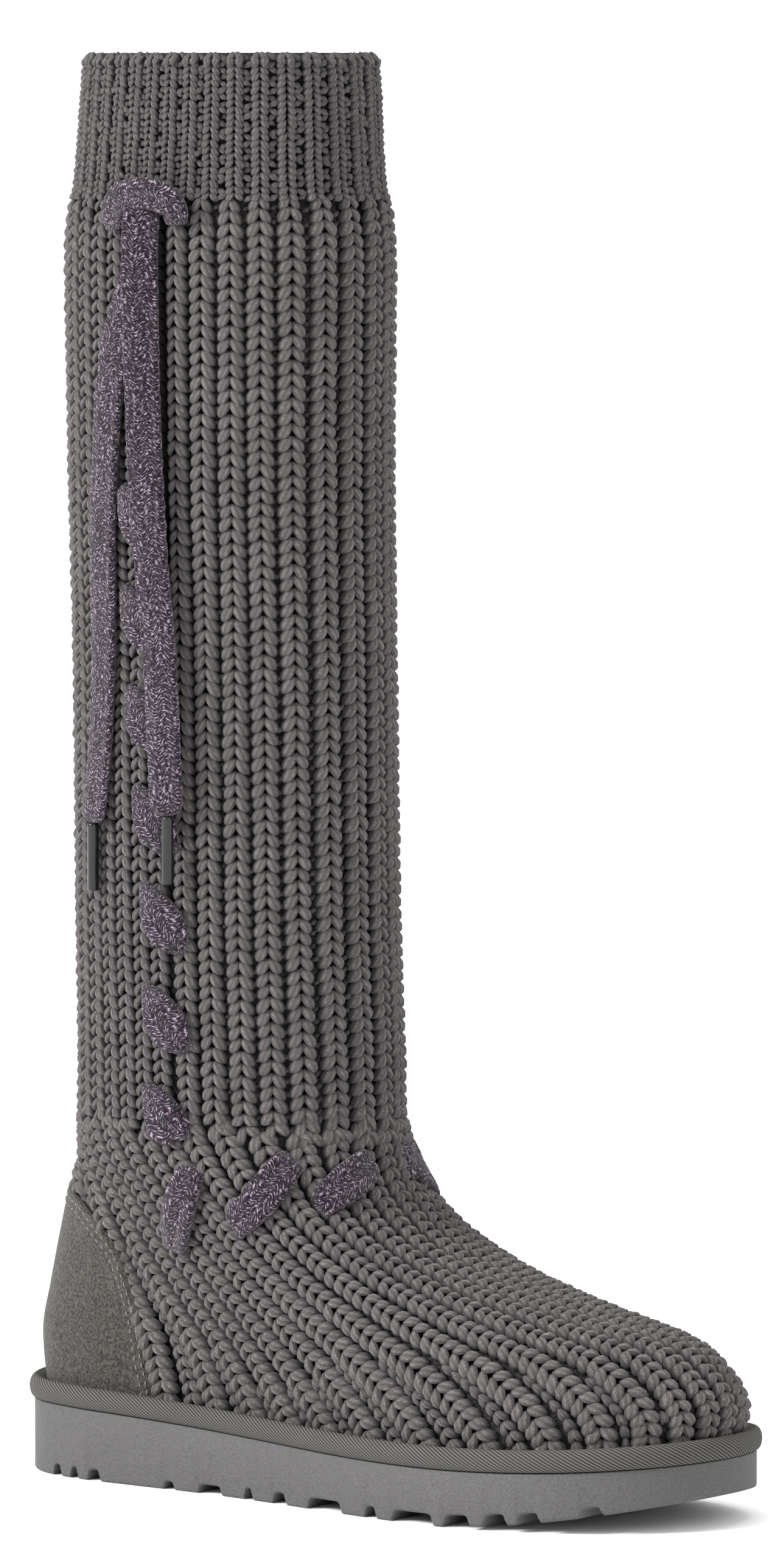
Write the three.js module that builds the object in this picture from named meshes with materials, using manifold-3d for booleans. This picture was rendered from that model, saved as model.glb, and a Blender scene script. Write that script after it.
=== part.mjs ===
// Sweater boot, right foot: a tall chunky knitted upper laced up its outer side, on a low foam sole.
// Millimetres. +X to the toe, -Y to the outer (lateral) side, +Z up, standing on z = 0.
import * as THREE from "three";
import { mergeVertices } from "three/addons/utils/BufferGeometryUtils.js";
import Module from "manifold-3d";

const wasm = await Module();
wasm.setup();

// Driving dimensions
const soleLength = 268;
const soleWidth = 94;
const heelHeight = 23.7;
const ballHeight = 18.2;
const toeHeight = 22.2;
const toeSpring = 11;
const lugDepth = 3.7;
const ankleHeight = 122;
const seamHeight = 420;
const cuffHeight = 47;
const shaftLength = 112;
const shaftWidth = 95.2;
const knitWall = 3;
const ribHeight = 2;
const ribCount = 36;
const ribSpread = 1.27;
const ribLean = 0.44;
const featherInset = 5.5;
const clearance = 0.3;
const bindingHeight = 7.2;
const bindingProud = 1.7;
const insoleThickness = 6;
const counterThickness = 1.8;
const laceWidth = 12;
const laceThickness = 3;
const stitchPitch = 32.2;
const stitchFall = 18.6;
const sideStitches = 7;
const stitchGap = 0.6;
const insoleFit = 0.7;
const agletLength = 22;
const agletWidth = 3.8;

// Sole outline: share of the length from the heel, then the outer and inner reach as shares of the width
const outlineRows = [
  { along: 0, outer: 0, inner: 0 },
  { along: 0.02, outer: 0.184, inner: 0.181 },
  { along: 0.06, outer: 0.303, inner: 0.293 },
  { along: 0.13, outer: 0.367, inner: 0.356 },
  { along: 0.22, outer: 0.383, inner: 0.376 },
  { along: 0.33, outer: 0.394, inner: 0.362 },
  { along: 0.44, outer: 0.431, inner: 0.351 },
  { along: 0.55, outer: 0.484, inner: 0.372 },
  { along: 0.65, outer: 0.523, inner: 0.423 },
  { along: 0.73, outer: 0.53, inner: 0.47 },
  { along: 0.81, outer: 0.5, inner: 0.495 },
  { along: 0.88, outer: 0.431, inner: 0.466 },
  { along: 0.94, outer: 0.314, inner: 0.391 },
  { along: 0.98, outer: 0.165, inner: 0.271 },
];
const toeTipInner = 0.048;

// Side profile of the sole: where the ball starts to thin out, and where the toe leaves the ground
const heelFlatEnd = 0.05;
const ballPlace = 0.65;
const toeRiseStart = 0.68;
const springStart = 0.7;

// Cross grooves between the lugs: start and end as shares of the length, depth as a share of the lugs
const grooveRows = [
  { start: 0.028, end: 0.035, depth: 0.6 },
  { start: 0.088, end: 0.105, depth: 1 },
  { start: 0.12, end: 0.135, depth: 1 },
  { start: 0.149, end: 0.172, depth: 1 },
  { start: 0.268, end: 0.287, depth: 0.7 },
  { start: 0.322, end: 0.362, depth: 0.8 },
  { start: 0.397, end: 0.413, depth: 1 },
  { start: 0.444, end: 0.469, depth: 1 },
  { start: 0.503, end: 0.562, depth: 1 },
  { start: 0.598, end: 0.619, depth: 1 },
  { start: 0.641, end: 0.706, depth: 1 },
  { start: 0.718, end: 0.757, depth: 1 },
  { start: 0.772, end: 0.805, depth: 1 },
  { start: 0.815, end: 0.845, depth: 0.9 },
  { start: 0.887, end: 0.912, depth: 0.8 },
];

// Shaft sections: rise as a share of ankle to seam, centre as a share of the sole's length,
// length and width as shares of the shaft's
const shaftRows = [
  { rise: 0, centre: 0.289, length: 1.018, width: 0.983 },
  { rise: 0.094, centre: 0.288, length: 1.005, width: 0.996 },
  { rise: 0.218, centre: 0.284, length: 0.996, width: 0.996 },
  { rise: 0.483, centre: 0.28, length: 0.991, width: 0.992 },
  { rise: 0.752, centre: 0.274, length: 1, width: 1 },
  { rise: 0.936, centre: 0.2735, length: 1.011, width: 1.011 },
  { rise: 0.987, centre: 0.273, length: 0.993, width: 0.994 },
];

// Cuff sections: rise as a share of the cuff's own height
const cuffRows = [
  { rise: 0.08, centre: 0.273, length: 0.952, width: 0.956 },
  { rise: 0.9, centre: 0.275, length: 0.9, width: 0.905 },
  { rise: 1, centre: 0.275, length: 0.884, width: 0.888 },
];

// Foot of the upper, ankle to sole, for the front, side and back: reach is the share of the way out
// to the sole's feather line, and height the share of the ankle's height that is left
const footRows = [
  { down: 0, front: [0, 1], side: [0, 1], back: [0, 1] },
  { down: 0.12, front: [0.027, 0.839], side: [0.05, 0.89], back: [-0.035, 0.88] },
  { down: 0.27, front: [0.152, 0.648], side: [0.17, 0.75], back: [0.373, 0.74] },
  { down: 0.45, front: [0.391, 0.509], side: [0.36, 0.58], back: [0.695, 0.57] },
  { down: 0.64, front: [0.646, 0.426], side: [0.58, 0.41], back: [0.994, 0.38] },
  { down: 0.8, front: [0.902, 0.34], side: [0.79, 0.25], back: [1.202, 0.22] },
  { down: 0.92, front: [1.035, 0.146], side: [0.94, 0.1], back: [1.122, 0.09] },
  { down: 1, front: [1, 0], side: [1, 0], back: [1, 0] },
];

// Where each direction round the ankle lands on the sole: share of the half turn, share of the half outline
const landingRows = [
  { turn: 0, share: 0 },
  { turn: 0.239, share: 0.2 },
  { turn: 0.45, share: 0.48 },
  { turn: 0.7, share: 0.7 },
  { turn: 0.861, share: 0.87 },
  { turn: 1, share: 1 },
];

// Heel counter: half width as a share of the half turn, at each station down the foot
const counterRows = [
  { down: 0.285, half: 0.05 },
  { down: 0.3, half: 0.11 },
  { down: 0.33, half: 0.17 },
  { down: 0.4, half: 0.217 },
  { down: 0.5, half: 0.25 },
  { down: 0.65, half: 0.256 },
  { down: 0.8, half: 0.252 },
  { down: 0.95, half: 0.262 },
  { down: 1, half: 0.264 },
];

// Ankle stitches, front to back: each end as a share of the half turn and a station down the foot.
// The inner side mirrors the outer one.
const ankleStitches = [
  { name: "front", from: [0.225, 0.208], to: [0.064, 0.093] },
  { name: "middle", from: [0.419, 0.336], to: [0.247, 0.097] },
  { name: "back", from: [0.572, 0.448], to: [0.447, 0.162] },
];

// Laced seam up the outer side: its turn at each rise, as a share of ankle to seam
const lacedSeamRows = [
  { rise: 0, turn: 0.477 },
  { rise: 0.22, turn: 0.472 },
  { rise: 0.33, turn: 0.488 },
  { rise: 0.44, turn: 0.504 },
  { rise: 0.55, turn: 0.51 },
  { rise: 0.7, turn: 0.51 },
];
const stitchHalfTurn = 0.027;
const firstStitchRise = 0.007;

// Free lace ends and the half knot over them: share of the half turn, share of ankle to seam,
// and lift off the knit
const frontEndRoute = [
  [0.485, 0.98, 5.5], [0.484, 0.94, 5.5], [0.483, 0.89, 5.5], [0.481, 0.82, 5.7], [0.477, 0.765, 6.2],
  [0.472, 0.707, 6.8], [0.468, 0.655, 6.8], [0.464, 0.602, 6.8], [0.458, 0.556, 6.8],
  [0.453, 0.515, 6.8], [0.45, 0.47, 6.8], [0.447, 0.427, 6.8], [0.445, 0.39, 6.8],
  [0.443, 0.355, 6.8], [0.441, 0.336, 6.8],
];
const backEndRoute = [
  [0.53, 0.922, 2], [0.541, 0.895, 2], [0.554, 0.868, 2], [0.564, 0.843, 2], [0.579, 0.78, 2],
  [0.59, 0.705, 2], [0.597, 0.64, 2], [0.602, 0.57, 2], [0.605, 0.51, 2], [0.611, 0.451, 2],
  [0.618, 0.41, 2.1], [0.625, 0.376, 2.3], [0.631, 0.34, 2.9], [0.633, 0.322, 3.4],
];
const knotRoute = [
  [0.552, 0.955, 2.2], [0.555, 0.985, 2.8], [0.537, 1.01, 5.2], [0.492, 1.022, 6.4],
  [0.442, 1.019, 6], [0.412, 1.002, 4.4], [0.4, 0.978, 2.6],
];

// Small helpers
const clamp01 = (value) => Math.min(Math.max(value, 0), 1);
const ease = (value) => clamp01(value) ** 2 * (3 - 2 * clamp01(value));
const mix = (a, b, share) => a + (b - a) * share;

// A smooth curve through a table that never overshoots its rows
function curveThrough(xs, ys) {
  const slopes = xs.slice(1).map((x, i) => (ys[i + 1] - ys[i]) / (x - xs[i]));
  const tangents = xs.map((_, i) => {
    if (i === 0) return slopes[0];
    if (i === xs.length - 1) return slopes[i - 1];
    const [left, right] = [slopes[i - 1], slopes[i]];
    return left * right <= 0 ? 0 : (2 * left * right) / (left + right);
  });
  return (x) => {
    const place = clamp01((x - xs[0]) / (xs.at(-1) - xs[0])) * (xs.at(-1) - xs[0]) + xs[0];
    const i = Math.max(xs.findLastIndex((knot, k) => knot <= place && k < xs.length - 1), 0);
    const width = xs[i + 1] - xs[i];
    const u = (place - xs[i]) / width;
    const [a, b] = [u * u * (3 - 2 * u), u * (1 - u)];
    return mix(ys[i], ys[i + 1], a) + b * width * ((1 - u) * tangents[i] - u * tangents[i + 1]);
  };
}

const column = (rows, key, pick = (value) => value) => rows.map((row) => pick(row[key]));

// Sole outline as a closed curve, from the toe tip back along the outer side and home on the inner side
const outerSide = outlineRows.toReversed().map(
  (row) => new THREE.Vector3(row.along * soleLength, -row.outer * soleWidth, 0));
const innerSide = outlineRows.slice(1).map(
  (row) => new THREE.Vector3(row.along * soleLength, row.inner * soleWidth, 0));
const toeTip = new THREE.Vector3(soleLength, toeTipInner * soleWidth, 0);
const outlineCurve = new THREE.CatmullRomCurve3([toeTip, ...outerSide, ...innerSide], true, "centripetal");
const outlineSamples = 600;
outlineCurve.arcLengthDivisions = outlineSamples;
const outlineXs = Array.from(
  { length: outlineSamples }, (_, i) => outlineCurve.getPointAt(i / outlineSamples).x);
const heelShare = outlineXs.indexOf(Math.min(...outlineXs)) / outlineSamples;

// Height of the sole's top and of its underside at a place along the foot
function soleTop(x) {
  const share = x / soleLength;
  const low = mix(heelHeight, ballHeight, ease((share - heelFlatEnd) / (ballPlace - heelFlatEnd)));
  return low + (toeHeight - ballHeight) * clamp01((share - toeRiseStart) / (1 - toeRiseStart)) ** 1.8;
}

function soleUnder(x) {
  return toeSpring * clamp01((x / soleLength - springStart) / (1 - springStart)) ** 1.5;
}

// A point on the sole's edge in the direction of an angle round the ankle, and its level outward normal
const landing = curveThrough(column(landingRows, "turn"), column(landingRows, "share"));
function soleEdge(angle) {
  const turn = angle / Math.PI - 2 * Math.floor(angle / (2 * Math.PI));
  const share = turn <= 1 ? landing(turn) * heelShare : 1 - landing(2 - turn) * (1 - heelShare);
  const point = outlineCurve.getPointAt(share % 1);
  const tangent = outlineCurve.getTangentAt(share % 1);
  return { point, normal: new THREE.Vector3(-tangent.y, tangent.x, 0).normalize() };
}

// The crest of the knit: angle 0 is the front, a quarter turn the outer side; station -1 is the collar,
// 0 the ankle and 1 the sole
const bootHeight = seamHeight + cuffHeight;
const shaftSections = [
  ...shaftRows.map((row) => ({ ...row, height: mix(ankleHeight, seamHeight, row.rise) })),
  ...cuffRows.map((row) => ({ ...row, height: seamHeight + row.rise * cuffHeight })),
];
const shaftHeights = column(shaftSections, "height");
const sectionCurve = (key, size) => curveThrough(
  shaftHeights, column(shaftSections, key, (share) => share * size));
const shaftCentre = sectionCurve("centre", soleLength);
const shaftHalfLength = sectionCurve("length", shaftLength / 2);
const shaftHalfWidth = sectionCurve("width", shaftWidth / 2);
const footProfile = Object.fromEntries(["front", "side", "back"].map((name) => [name, {
  reach: curveThrough(column(footRows, "down"), column(footRows, name, (pair) => pair[0])),
  height: curveThrough(column(footRows, "down"), column(footRows, name, (pair) => pair[1])),
}]));

function shaftPoint(angle, height) {
  return new THREE.Vector3(
    shaftCentre(height) + shaftHalfLength(height) * Math.cos(angle),
    -shaftHalfWidth(height) * Math.sin(angle), height);
}

function footPoint(angle, down) {
  const ankle = shaftPoint(angle, ankleHeight);
  const edge = soleEdge(angle);
  const feather = edge.point.clone().addScaledVector(edge.normal, -featherInset);
  const ahead = Math.cos(angle);
  const weights = { front: ahead > 0 ? ahead ** 2 : 0, back: ahead < 0 ? ahead ** 2 : 0 };
  weights.side = 1 - weights.front - weights.back;
  const blend = (key) => Object.entries(weights).reduce(
    (sum, [name, weight]) => sum + weight * footProfile[name][key](down), 0);
  const floor = soleTop(feather.x) + clearance;
  const reach = blend("reach");
  return new THREE.Vector3(mix(ankle.x, feather.x, reach), mix(ankle.y, feather.y, reach),
    mix(floor, ankleHeight, blend("height")));
}

function crestPoint(angle, station) {
  if (station > 0) return footPoint(angle, station);
  return shaftPoint(angle, mix(ankleHeight, bootHeight, -station));
}

// Near the sole the wall stands upright, so that its foot is level
const [uprightFrom, uprightTo] = [0.86, 0.98];
function outward(angle, station) {
  const step = 0.01;
  const around = crestPoint(angle + step, station).sub(crestPoint(angle - step, station));
  const along = crestPoint(angle, Math.min(station + step, 1)).sub(crestPoint(angle, station - step));
  const normal = around.cross(along).normalize();
  normal.z *= 1 - ease((station - uprightFrom) / (uprightTo - uprightFrom));
  if (station <= 0) normal.z = 0;
  return normal.normalize();
}

// A point under the crest by a depth, or over it by a negative one
function upperPoint(angle, station, depth = 0) {
  return crestPoint(angle, station).addScaledVector(outward(angle, station), -depth);
}

const stationAt = (height) => -(height - ankleHeight) / (bootHeight - ankleHeight);
const stationOfShaft = (rise) => stationAt(mix(ankleHeight, seamHeight, rise));

// The station of the foot that lies a given rise over the sole's top
function stationOfRise(angle, rise) {
  let [low, high] = [0.8, 1];
  for (let i = 0; i < 30; i += 1) {
    const middle = (low + high) / 2;
    const point = footPoint(angle, middle);
    if (point.z - soleTop(point.x) > rise) low = middle;
    else high = middle;
  }
  return (low + high) / 2;
}

// Rib columns: three corners to a rib, wider at the front and back than at the sides, leaning towards
// the toe on the way down the foot
const ribTurn = (2 * Math.PI) / ribCount;
const ribCorners = [{ offset: -0.5, depth: 1 }, { offset: -0.22, depth: 0 }, { offset: 0.22, depth: 0 }];
const leanAt = (base, station) => base - ribLean * Math.sin(base) * clamp01(station);
const ribBase = (rib) => Math.atan2(ribSpread * Math.sin(rib * ribTurn), Math.cos(rib * ribTurn));
const outerColumns = Array.from({ length: ribCount }, (_, rib) => ribCorners.map(
  (corner) => ({ base: ribBase(rib + corner.offset), depth: corner.depth * ribHeight }))).flat();
const innerColumns = Array.from({ length: ribCount }, (_, rib) => ({ base: ribBase(rib) }));

const outerRing = (station) => outerColumns.map(
  (col) => upperPoint(leanAt(col.base, station), station, col.depth));
const innerRing = (station) => innerColumns.map(
  (col) => upperPoint(leanAt(col.base, station), station, ribHeight + knitWall));

// Closed meshes from rings of points: each ring is joined to the next, a longer ring fanned onto a shorter
function ringMesh(rings, capped) {
  const points = rings.flat();
  const starts = rings.map((_, i) => rings.slice(0, i).reduce((sum, ring) => sum + ring.length, 0));
  const faces = [];
  const join = (i, j, flip) => {
    const [many, few] = rings[i].length >= rings[j].length ? [i, j] : [j, i];
    const turned = (many !== i) !== flip;
    const fan = rings[many].length / rings[few].length;
    const face = (a, b, c) => faces.push(turned ? [a, b, c] : [a, c, b]);
    rings[few].forEach((_, k) => {
      const here = starts[few] + k;
      const next = starts[few] + ((k + 1) % rings[few].length);
      for (let m = 0; m < fan; m += 1) {
        const a = starts[many] + k * fan + m;
        const b = starts[many] + ((k * fan + m + 1) % rings[many].length);
        face(a, here, b);
      }
      face(starts[many] + (((k + 1) * fan) % rings[many].length), here, next);
    });
  };
  rings.slice(1).forEach((_, i) => join(i, i + 1, false));
  if (capped) {
    // Caps are ladders of rungs across the ring, so that they follow the ground under it
    for (const [ring, start] of [[rings[0], starts[0]], [rings.at(-1), starts.at(-1)]]) {
      const rung = (a, b, c) => faces.push(start ? [start + a, start + b, start + c] : [a, c, b]);
      for (let k = 0; k < ring.length / 2; k += 1) {
        const [near, far] = [(ring.length - k) % ring.length, ring.length - k - 1];
        if (k > 0) rung(k, k + 1, near);
        if (k + 1 < far) rung(k + 1, far, near);
      }
    }
  } else {
    join(rings.length - 1, 0, false);
  }
  return geometryFrom(points, faces);
}

function geometryFrom(points, faces) {
  const geometry = new THREE.BufferGeometry();
  const numbers = points.flatMap((p) => [p.x, p.y, p.z]);
  geometry.setAttribute("position", new THREE.Float32BufferAttribute(numbers, 3));
  geometry.setIndex(faces.flat());
  return geometry;
}

// A closed patch between two grids of points, rows by columns, the first grid being the outer face
function slabMesh(outerGrid, innerGrid) {
  const [rows, cols] = [outerGrid.length, outerGrid[0].length];
  const points = [...outerGrid.flat(), ...innerGrid.flat()];
  const at = (side, i, j) => side * rows * cols + i * cols + j;
  const faces = [];
  const quad = (a, b, c, d) => faces.push([a, c, b], [a, d, c]);
  for (let i = 0; i < rows - 1; i += 1) {
    for (let j = 0; j < cols - 1; j += 1) {
      quad(at(0, i, j), at(0, i + 1, j), at(0, i + 1, j + 1), at(0, i, j + 1));
      quad(at(1, i, j), at(1, i, j + 1), at(1, i + 1, j + 1), at(1, i + 1, j));
    }
    quad(at(0, i, 0), at(1, i, 0), at(1, i + 1, 0), at(0, i + 1, 0));
    quad(at(0, i, cols - 1), at(0, i + 1, cols - 1), at(1, i + 1, cols - 1), at(1, i, cols - 1));
  }
  for (let j = 0; j < cols - 1; j += 1) {
    quad(at(0, 0, j), at(0, 0, j + 1), at(1, 0, j + 1), at(1, 0, j));
    quad(at(0, rows - 1, j), at(1, rows - 1, j), at(1, rows - 1, j + 1), at(0, rows - 1, j + 1));
  }
  return geometryFrom(points, faces);
}

// Booleans
function toSolid(geometry) {
  const bare = geometry.clone();
  bare.deleteAttribute("normal");
  bare.deleteAttribute("uv");
  const merged = mergeVertices(bare, 1e-4);
  return new wasm.Manifold(new wasm.Mesh({
    numProp: 3,
    vertProperties: new Float32Array(merged.attributes.position.array),
    triVerts: new Uint32Array(merged.index.array),
  }));
}

function toGeometry(solid) {
  const mesh = solid.getMesh();
  const geometry = new THREE.BufferGeometry();
  geometry.setAttribute("position", new THREE.Float32BufferAttribute(mesh.vertProperties, 3));
  geometry.setIndex(new THREE.Uint32BufferAttribute(mesh.triVerts, 1));
  return geometry;
}

// Outsole: the outline, cut to its side profile with toe spring and grooves
function outsole() {
  const outlineSteps = 96;
  const outline = new THREE.Shape(Array.from({ length: outlineSteps }, (_, i) => {
    const point = outlineCurve.getPointAt(i / outlineSteps);
    return new THREE.Vector2(point.x, point.y);
  }));
  const block = new THREE.ExtrudeGeometry(outline, { depth: heelHeight + toeHeight, bevelEnabled: false });
  const profileSteps = 28;
  const overrun = 2;
  const places = Array.from(
    { length: profileSteps + 1 }, (_, i) => mix(-overrun, soleLength + overrun, i / profileSteps));
  const profile = [
    ...underside(places),
    ...places.toReversed().map((x) => new THREE.Vector2(x, soleTop(x))),
  ];
  const side = new THREE.ExtrudeGeometry(
    new THREE.Shape(profile), { depth: 2 * soleWidth, bevelEnabled: false });
  side.rotateX(Math.PI / 2);
  side.translate(0, soleWidth, 0);
  return toGeometry(toSolid(block).intersect(toSolid(side)));
}

// The underside from heel to toe, stepping up into each groove with rounded upper corners
function underside(places) {
  const points = [];
  const inGroove = (x) => grooveRows.some((row) => x >= row.start * soleLength && x <= row.end * soleLength);
  const plain = places.filter((x) => !inGroove(x)).map((x) => ({ x, lift: 0 }));
  const cuts = grooveRows.flatMap((row) => {
    const [start, end, lift] = [row.start * soleLength, row.end * soleLength, row.depth * lugDepth];
    const corner = Math.min(lift * 0.4, (end - start) * 0.3);
    return [
      { x: start, lift: 0 }, { x: start + 0.2, lift: lift - corner }, { x: start + corner, lift },
      { x: end - corner, lift }, { x: end - 0.2, lift: lift - corner }, { x: end, lift: 0 },
    ];
  });
  for (const mark of [...plain, ...cuts].sort((a, b) => a.x - b.x)) {
    points.push(new THREE.Vector2(mark.x, soleUnder(mark.x) + mark.lift));
  }
  return points;
}

// Upper: one knitted wall, open at the collar and underneath, recessed for the heel counter
const outerStations = [
  stationAt(bootHeight), stationAt(bootHeight - 4), stationAt(seamHeight + 3.8), stationAt(seamHeight - 4),
  ...[0.936, 0.752, 0.42, 0.15].map(stationOfShaft),
  0, 0.08, 0.16, 0.24, 0.33, 0.43, 0.53, 0.63, 0.72, 0.8, 0.87, 0.93, 1,
];
const innerStations = [
  1, 0.93, 0.86, 0.78, 0.68, 0.56, 0.43, 0.3, 0.15, 0,
  ...[0.3, 0.7, 0.936].map(stationOfShaft),
  stationAt(seamHeight - 4), stationAt(seamHeight + 3.8), stationAt(bootHeight),
];

function upper() {
  const wall = ringMesh([...outerStations.map(outerRing), ...innerStations.map(innerRing)], false);
  const recess = counterPatch(-4, counterThickness + clearance, clearance);
  return toGeometry(toSolid(wall).subtract(toSolid(recess)));
}

// Heel counter: a bell-shaped patch of the upper's own surface, between two depths
const counterHalf = curveThrough(
  column(counterRows, "down"), column(counterRows, "half", (share) => share * Math.PI));
function counterPatch(top, bottom, margin) {
  const steps = 12;
  const first = counterRows[0].down;
  const stations = [0.285, 0.295, 0.315, 0.35, 0.41, 0.49, 0.58, 0.67, 0.76, 0.84, 0.91, 1];
  const grid = (depth) => stations.map((station, i) => {
    const place = i === 0 ? first - margin / ankleHeight : station;
    const low = i === stations.length - 1 ? margin : 0;
    return Array.from({ length: steps + 1 }, (_, j) => {
      const half = counterHalf(station) + margin / (shaftLength / 2);
      const angle = Math.PI + half * (2 * j / steps - 1);
      const point = upperPoint(angle, place, depth);
      point.z -= low * 2;
      return point;
    });
  });
  return slabMesh(grid(top), grid(bottom));
}

// Binding: a rounded taped welt that stands on the sole's edge and closes against the upper
function binding() {
  const steps = 96;
  const angles = Array.from({ length: steps }, (_, i) => (2 * Math.PI * i) / steps);
  const rings = [
    { rise: 0, out: 0 }, { rise: 0.3, out: 0.85 }, { rise: 0.6, out: 1 }, { rise: 0.88, out: 0.55 },
    { rise: 1, out: -0.6 },
  ].map((corner) => angles.map((angle) => {
    const edge = soleEdge(angle);
    const point = edge.point.clone().addScaledVector(edge.normal, corner.out * bindingProud);
    point.z = soleTop(edge.point.x) + clearance + corner.rise * bindingHeight;
    return point;
  }));
  const lips = [0.86, 0.43, 0].map((rise) => angles.map((angle) => {
    const station = stationOfRise(angle, clearance + rise * bindingHeight);
    const point = crestPoint(angle, station).addScaledVector(soleEdge(angle).normal, clearance);
    point.z = soleTop(point.x) + clearance + rise * bindingHeight;
    return point;
  }));
  return ringMesh([...rings, ...lips].reverse(), false);
}

// Insole: lies on the sole inside the knit
function insole() {
  const rings = [insoleThickness, insoleThickness / 2, 0].map((rise) => innerColumns.map((col) => {
    const angle = leanAt(col.base, 1);
    const station = stationOfRise(angle, clearance + rise);
    const point = upperPoint(angle, station, ribHeight + knitWall + insoleFit);
    point.z = soleTop(point.x) + clearance + rise;
    return point;
  }));
  return ringMesh(rings, true);
}

// A flat band along a curve: an eight-sided section, its flat face turned to the knit
function band(centres, normals, width, thickness, taper) {
  const [half, low] = [width / 2, thickness / 2];
  const [flank, shoulder] = [0.45, 0.72];
  const section = [
    [1, -flank], [1, flank], [shoulder, 1], [-shoulder, 1],
    [-1, flank], [-1, -flank], [-shoulder, -1], [shoulder, -1],
  ];
  const rings = centres.map((centre, i) => {
    const ahead = centres[Math.min(i + 1, centres.length - 1)].clone().sub(centres[Math.max(i - 1, 0)]);
    const across = ahead.normalize().clone().cross(normals[i]).normalize();
    const up = across.clone().cross(ahead).normalize();
    const narrow = taper ? mix(taper, 1, Math.sin(Math.PI * i / (centres.length - 1)) ** 0.5) : 1;
    return section.map(([a, b]) => centre.clone()
      .addScaledVector(across, a * half * narrow).addScaledVector(up, b * low));
  });
  const points = rings.flat();
  const count = section.length;
  const faces = [];
  for (let i = 0; i < rings.length - 1; i += 1) {
    for (let j = 0; j < count; j += 1) {
      const [a, b] = [i * count + j, i * count + (j + 1) % count];
      faces.push([a, b + count, b], [a, a + count, b + count]);
    }
  }
  const last = (rings.length - 1) * count;
  for (let j = 1; j < count - 1; j += 1) {
    faces.push([0, j, j + 1], [last, last + j + 1, last + j]);
  }
  return geometryFrom(points, faces);
}

// A visible lace stitch: a short band between two places on the knit, domed over the ribs
function stitch(from, to) {
  const steps = 6;
  const places = Array.from({ length: steps + 1 }, (_, i) => i / steps);
  const lift = laceThickness / 2 + stitchGap;
  const spot = (share) => [mix(from[0], to[0], share) * Math.PI, mix(from[1], to[1], share)];
  const centres = places.map((share) => upperPoint(...spot(share), -lift - 1.2 * Math.sin(Math.PI * share)));
  return band(centres, places.map((share) => outward(...spot(share))), laceWidth, laceThickness, 0.72);
}

// A free stretch of lace along a route of turn, rise and lift
function laceRun(route) {
  const spots = route.map(([turn, rise, lift]) => upperPoint(turn * Math.PI, stationOfShaft(rise), -lift));
  const steps = 2 * (route.length - 1);
  const curve = new THREE.CatmullRomCurve3(spots, false, "centripetal");
  const centres = Array.from({ length: steps + 1 }, (_, i) => curve.getPoint(i / steps));
  const normals = centres.map((_, i) => {
    const place = i / 2;
    const [a, b] = [route[Math.floor(place)], route[Math.ceil(place)]];
    return outward(mix(a[0], b[0], place % 1) * Math.PI, stationOfShaft(mix(a[1], b[1], place % 1)));
  });
  return { centres, normals };
}

function laceEnd(route) {
  const run = laceRun(route);
  return band(run.centres, run.normals, laceWidth, laceThickness, 0);
}

// Aglet: a round metal tip hanging straight down from the end of a lace
function aglet(route) {
  const run = laceRun(route);
  const tip = run.centres.at(-1);
  const r = agletWidth / 2;
  const edge = r * 0.2;
  const profile = [[0, 0], [r - edge, 0], [r, edge], [r, agletLength - edge], [r - edge, agletLength],
    [0, agletLength]];
  const sides = 12;
  const geometry = new THREE.LatheGeometry(profile.map(([x, y]) => new THREE.Vector2(x, y)), sides);
  geometry.rotateX(Math.PI / 2);
  geometry.translate(tip.x, tip.y, tip.z - clearance - agletLength);
  return mergeVertices(geometry);
}

// Materials
const paint = (colour, roughness, metalness = 0) => new THREE.MeshStandardMaterial({
  color: colour, roughness, metalness });
const knitYarn = paint(0x6d6965, 0.9);
const suede = paint(0x63625a, 0.95);
const foam = paint(0x77767a, 0.7);
const tape = paint(0x5f615c, 0.85);
const laceYarn = paint(0x6f6570, 0.95);
const footbed = paint(0x5b5854, 0.95);
const metal = paint(0x2b2a2c, 0.25, 0.9);

// Assembly
const pieces = [
  ["outsole", outsole(), foam],
  ["binding", binding(), tape],
  ["insole", insole(), footbed],
  ["upper_knit", upper(), knitYarn],
  ["heel_counter", counterPatch(0, counterThickness, 0), suede],
  ["lace_end_front", laceEnd(frontEndRoute), laceYarn],
  ["lace_end_back", laceEnd(backEndRoute), laceYarn],
  ["lace_knot", laceEnd(knotRoute), laceYarn],
  ["aglet_front", aglet(frontEndRoute), metal],
  ["aglet_back", aglet(backEndRoute), metal],
];

const seamTurn = curveThrough(column(lacedSeamRows, "rise"), column(lacedSeamRows, "turn"));
for (let i = 0; i < sideStitches; i += 1) {
  const rise = firstStitchRise + (i * stitchPitch) / (seamHeight - ankleHeight);
  const fall = stitchFall / 2 / (seamHeight - ankleHeight);
  const turn = seamTurn(rise);
  pieces.push([`lace_side_${i + 1}`, stitch(
    [turn + stitchHalfTurn, stationOfShaft(rise + fall)],
    [turn - stitchHalfTurn, stationOfShaft(rise - fall)]), laceYarn]);
}
for (const row of ankleStitches) {
  for (const [side, name] of [[1, "outer"], [-1, "inner"]]) {
    const [from, to] = [row.from, row.to].map(([turn, station]) => [turn * side, station]);
    pieces.push([`lace_ankle_${row.name}_${name}`, stitch(from, to), laceYarn]);
  }
}

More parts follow.
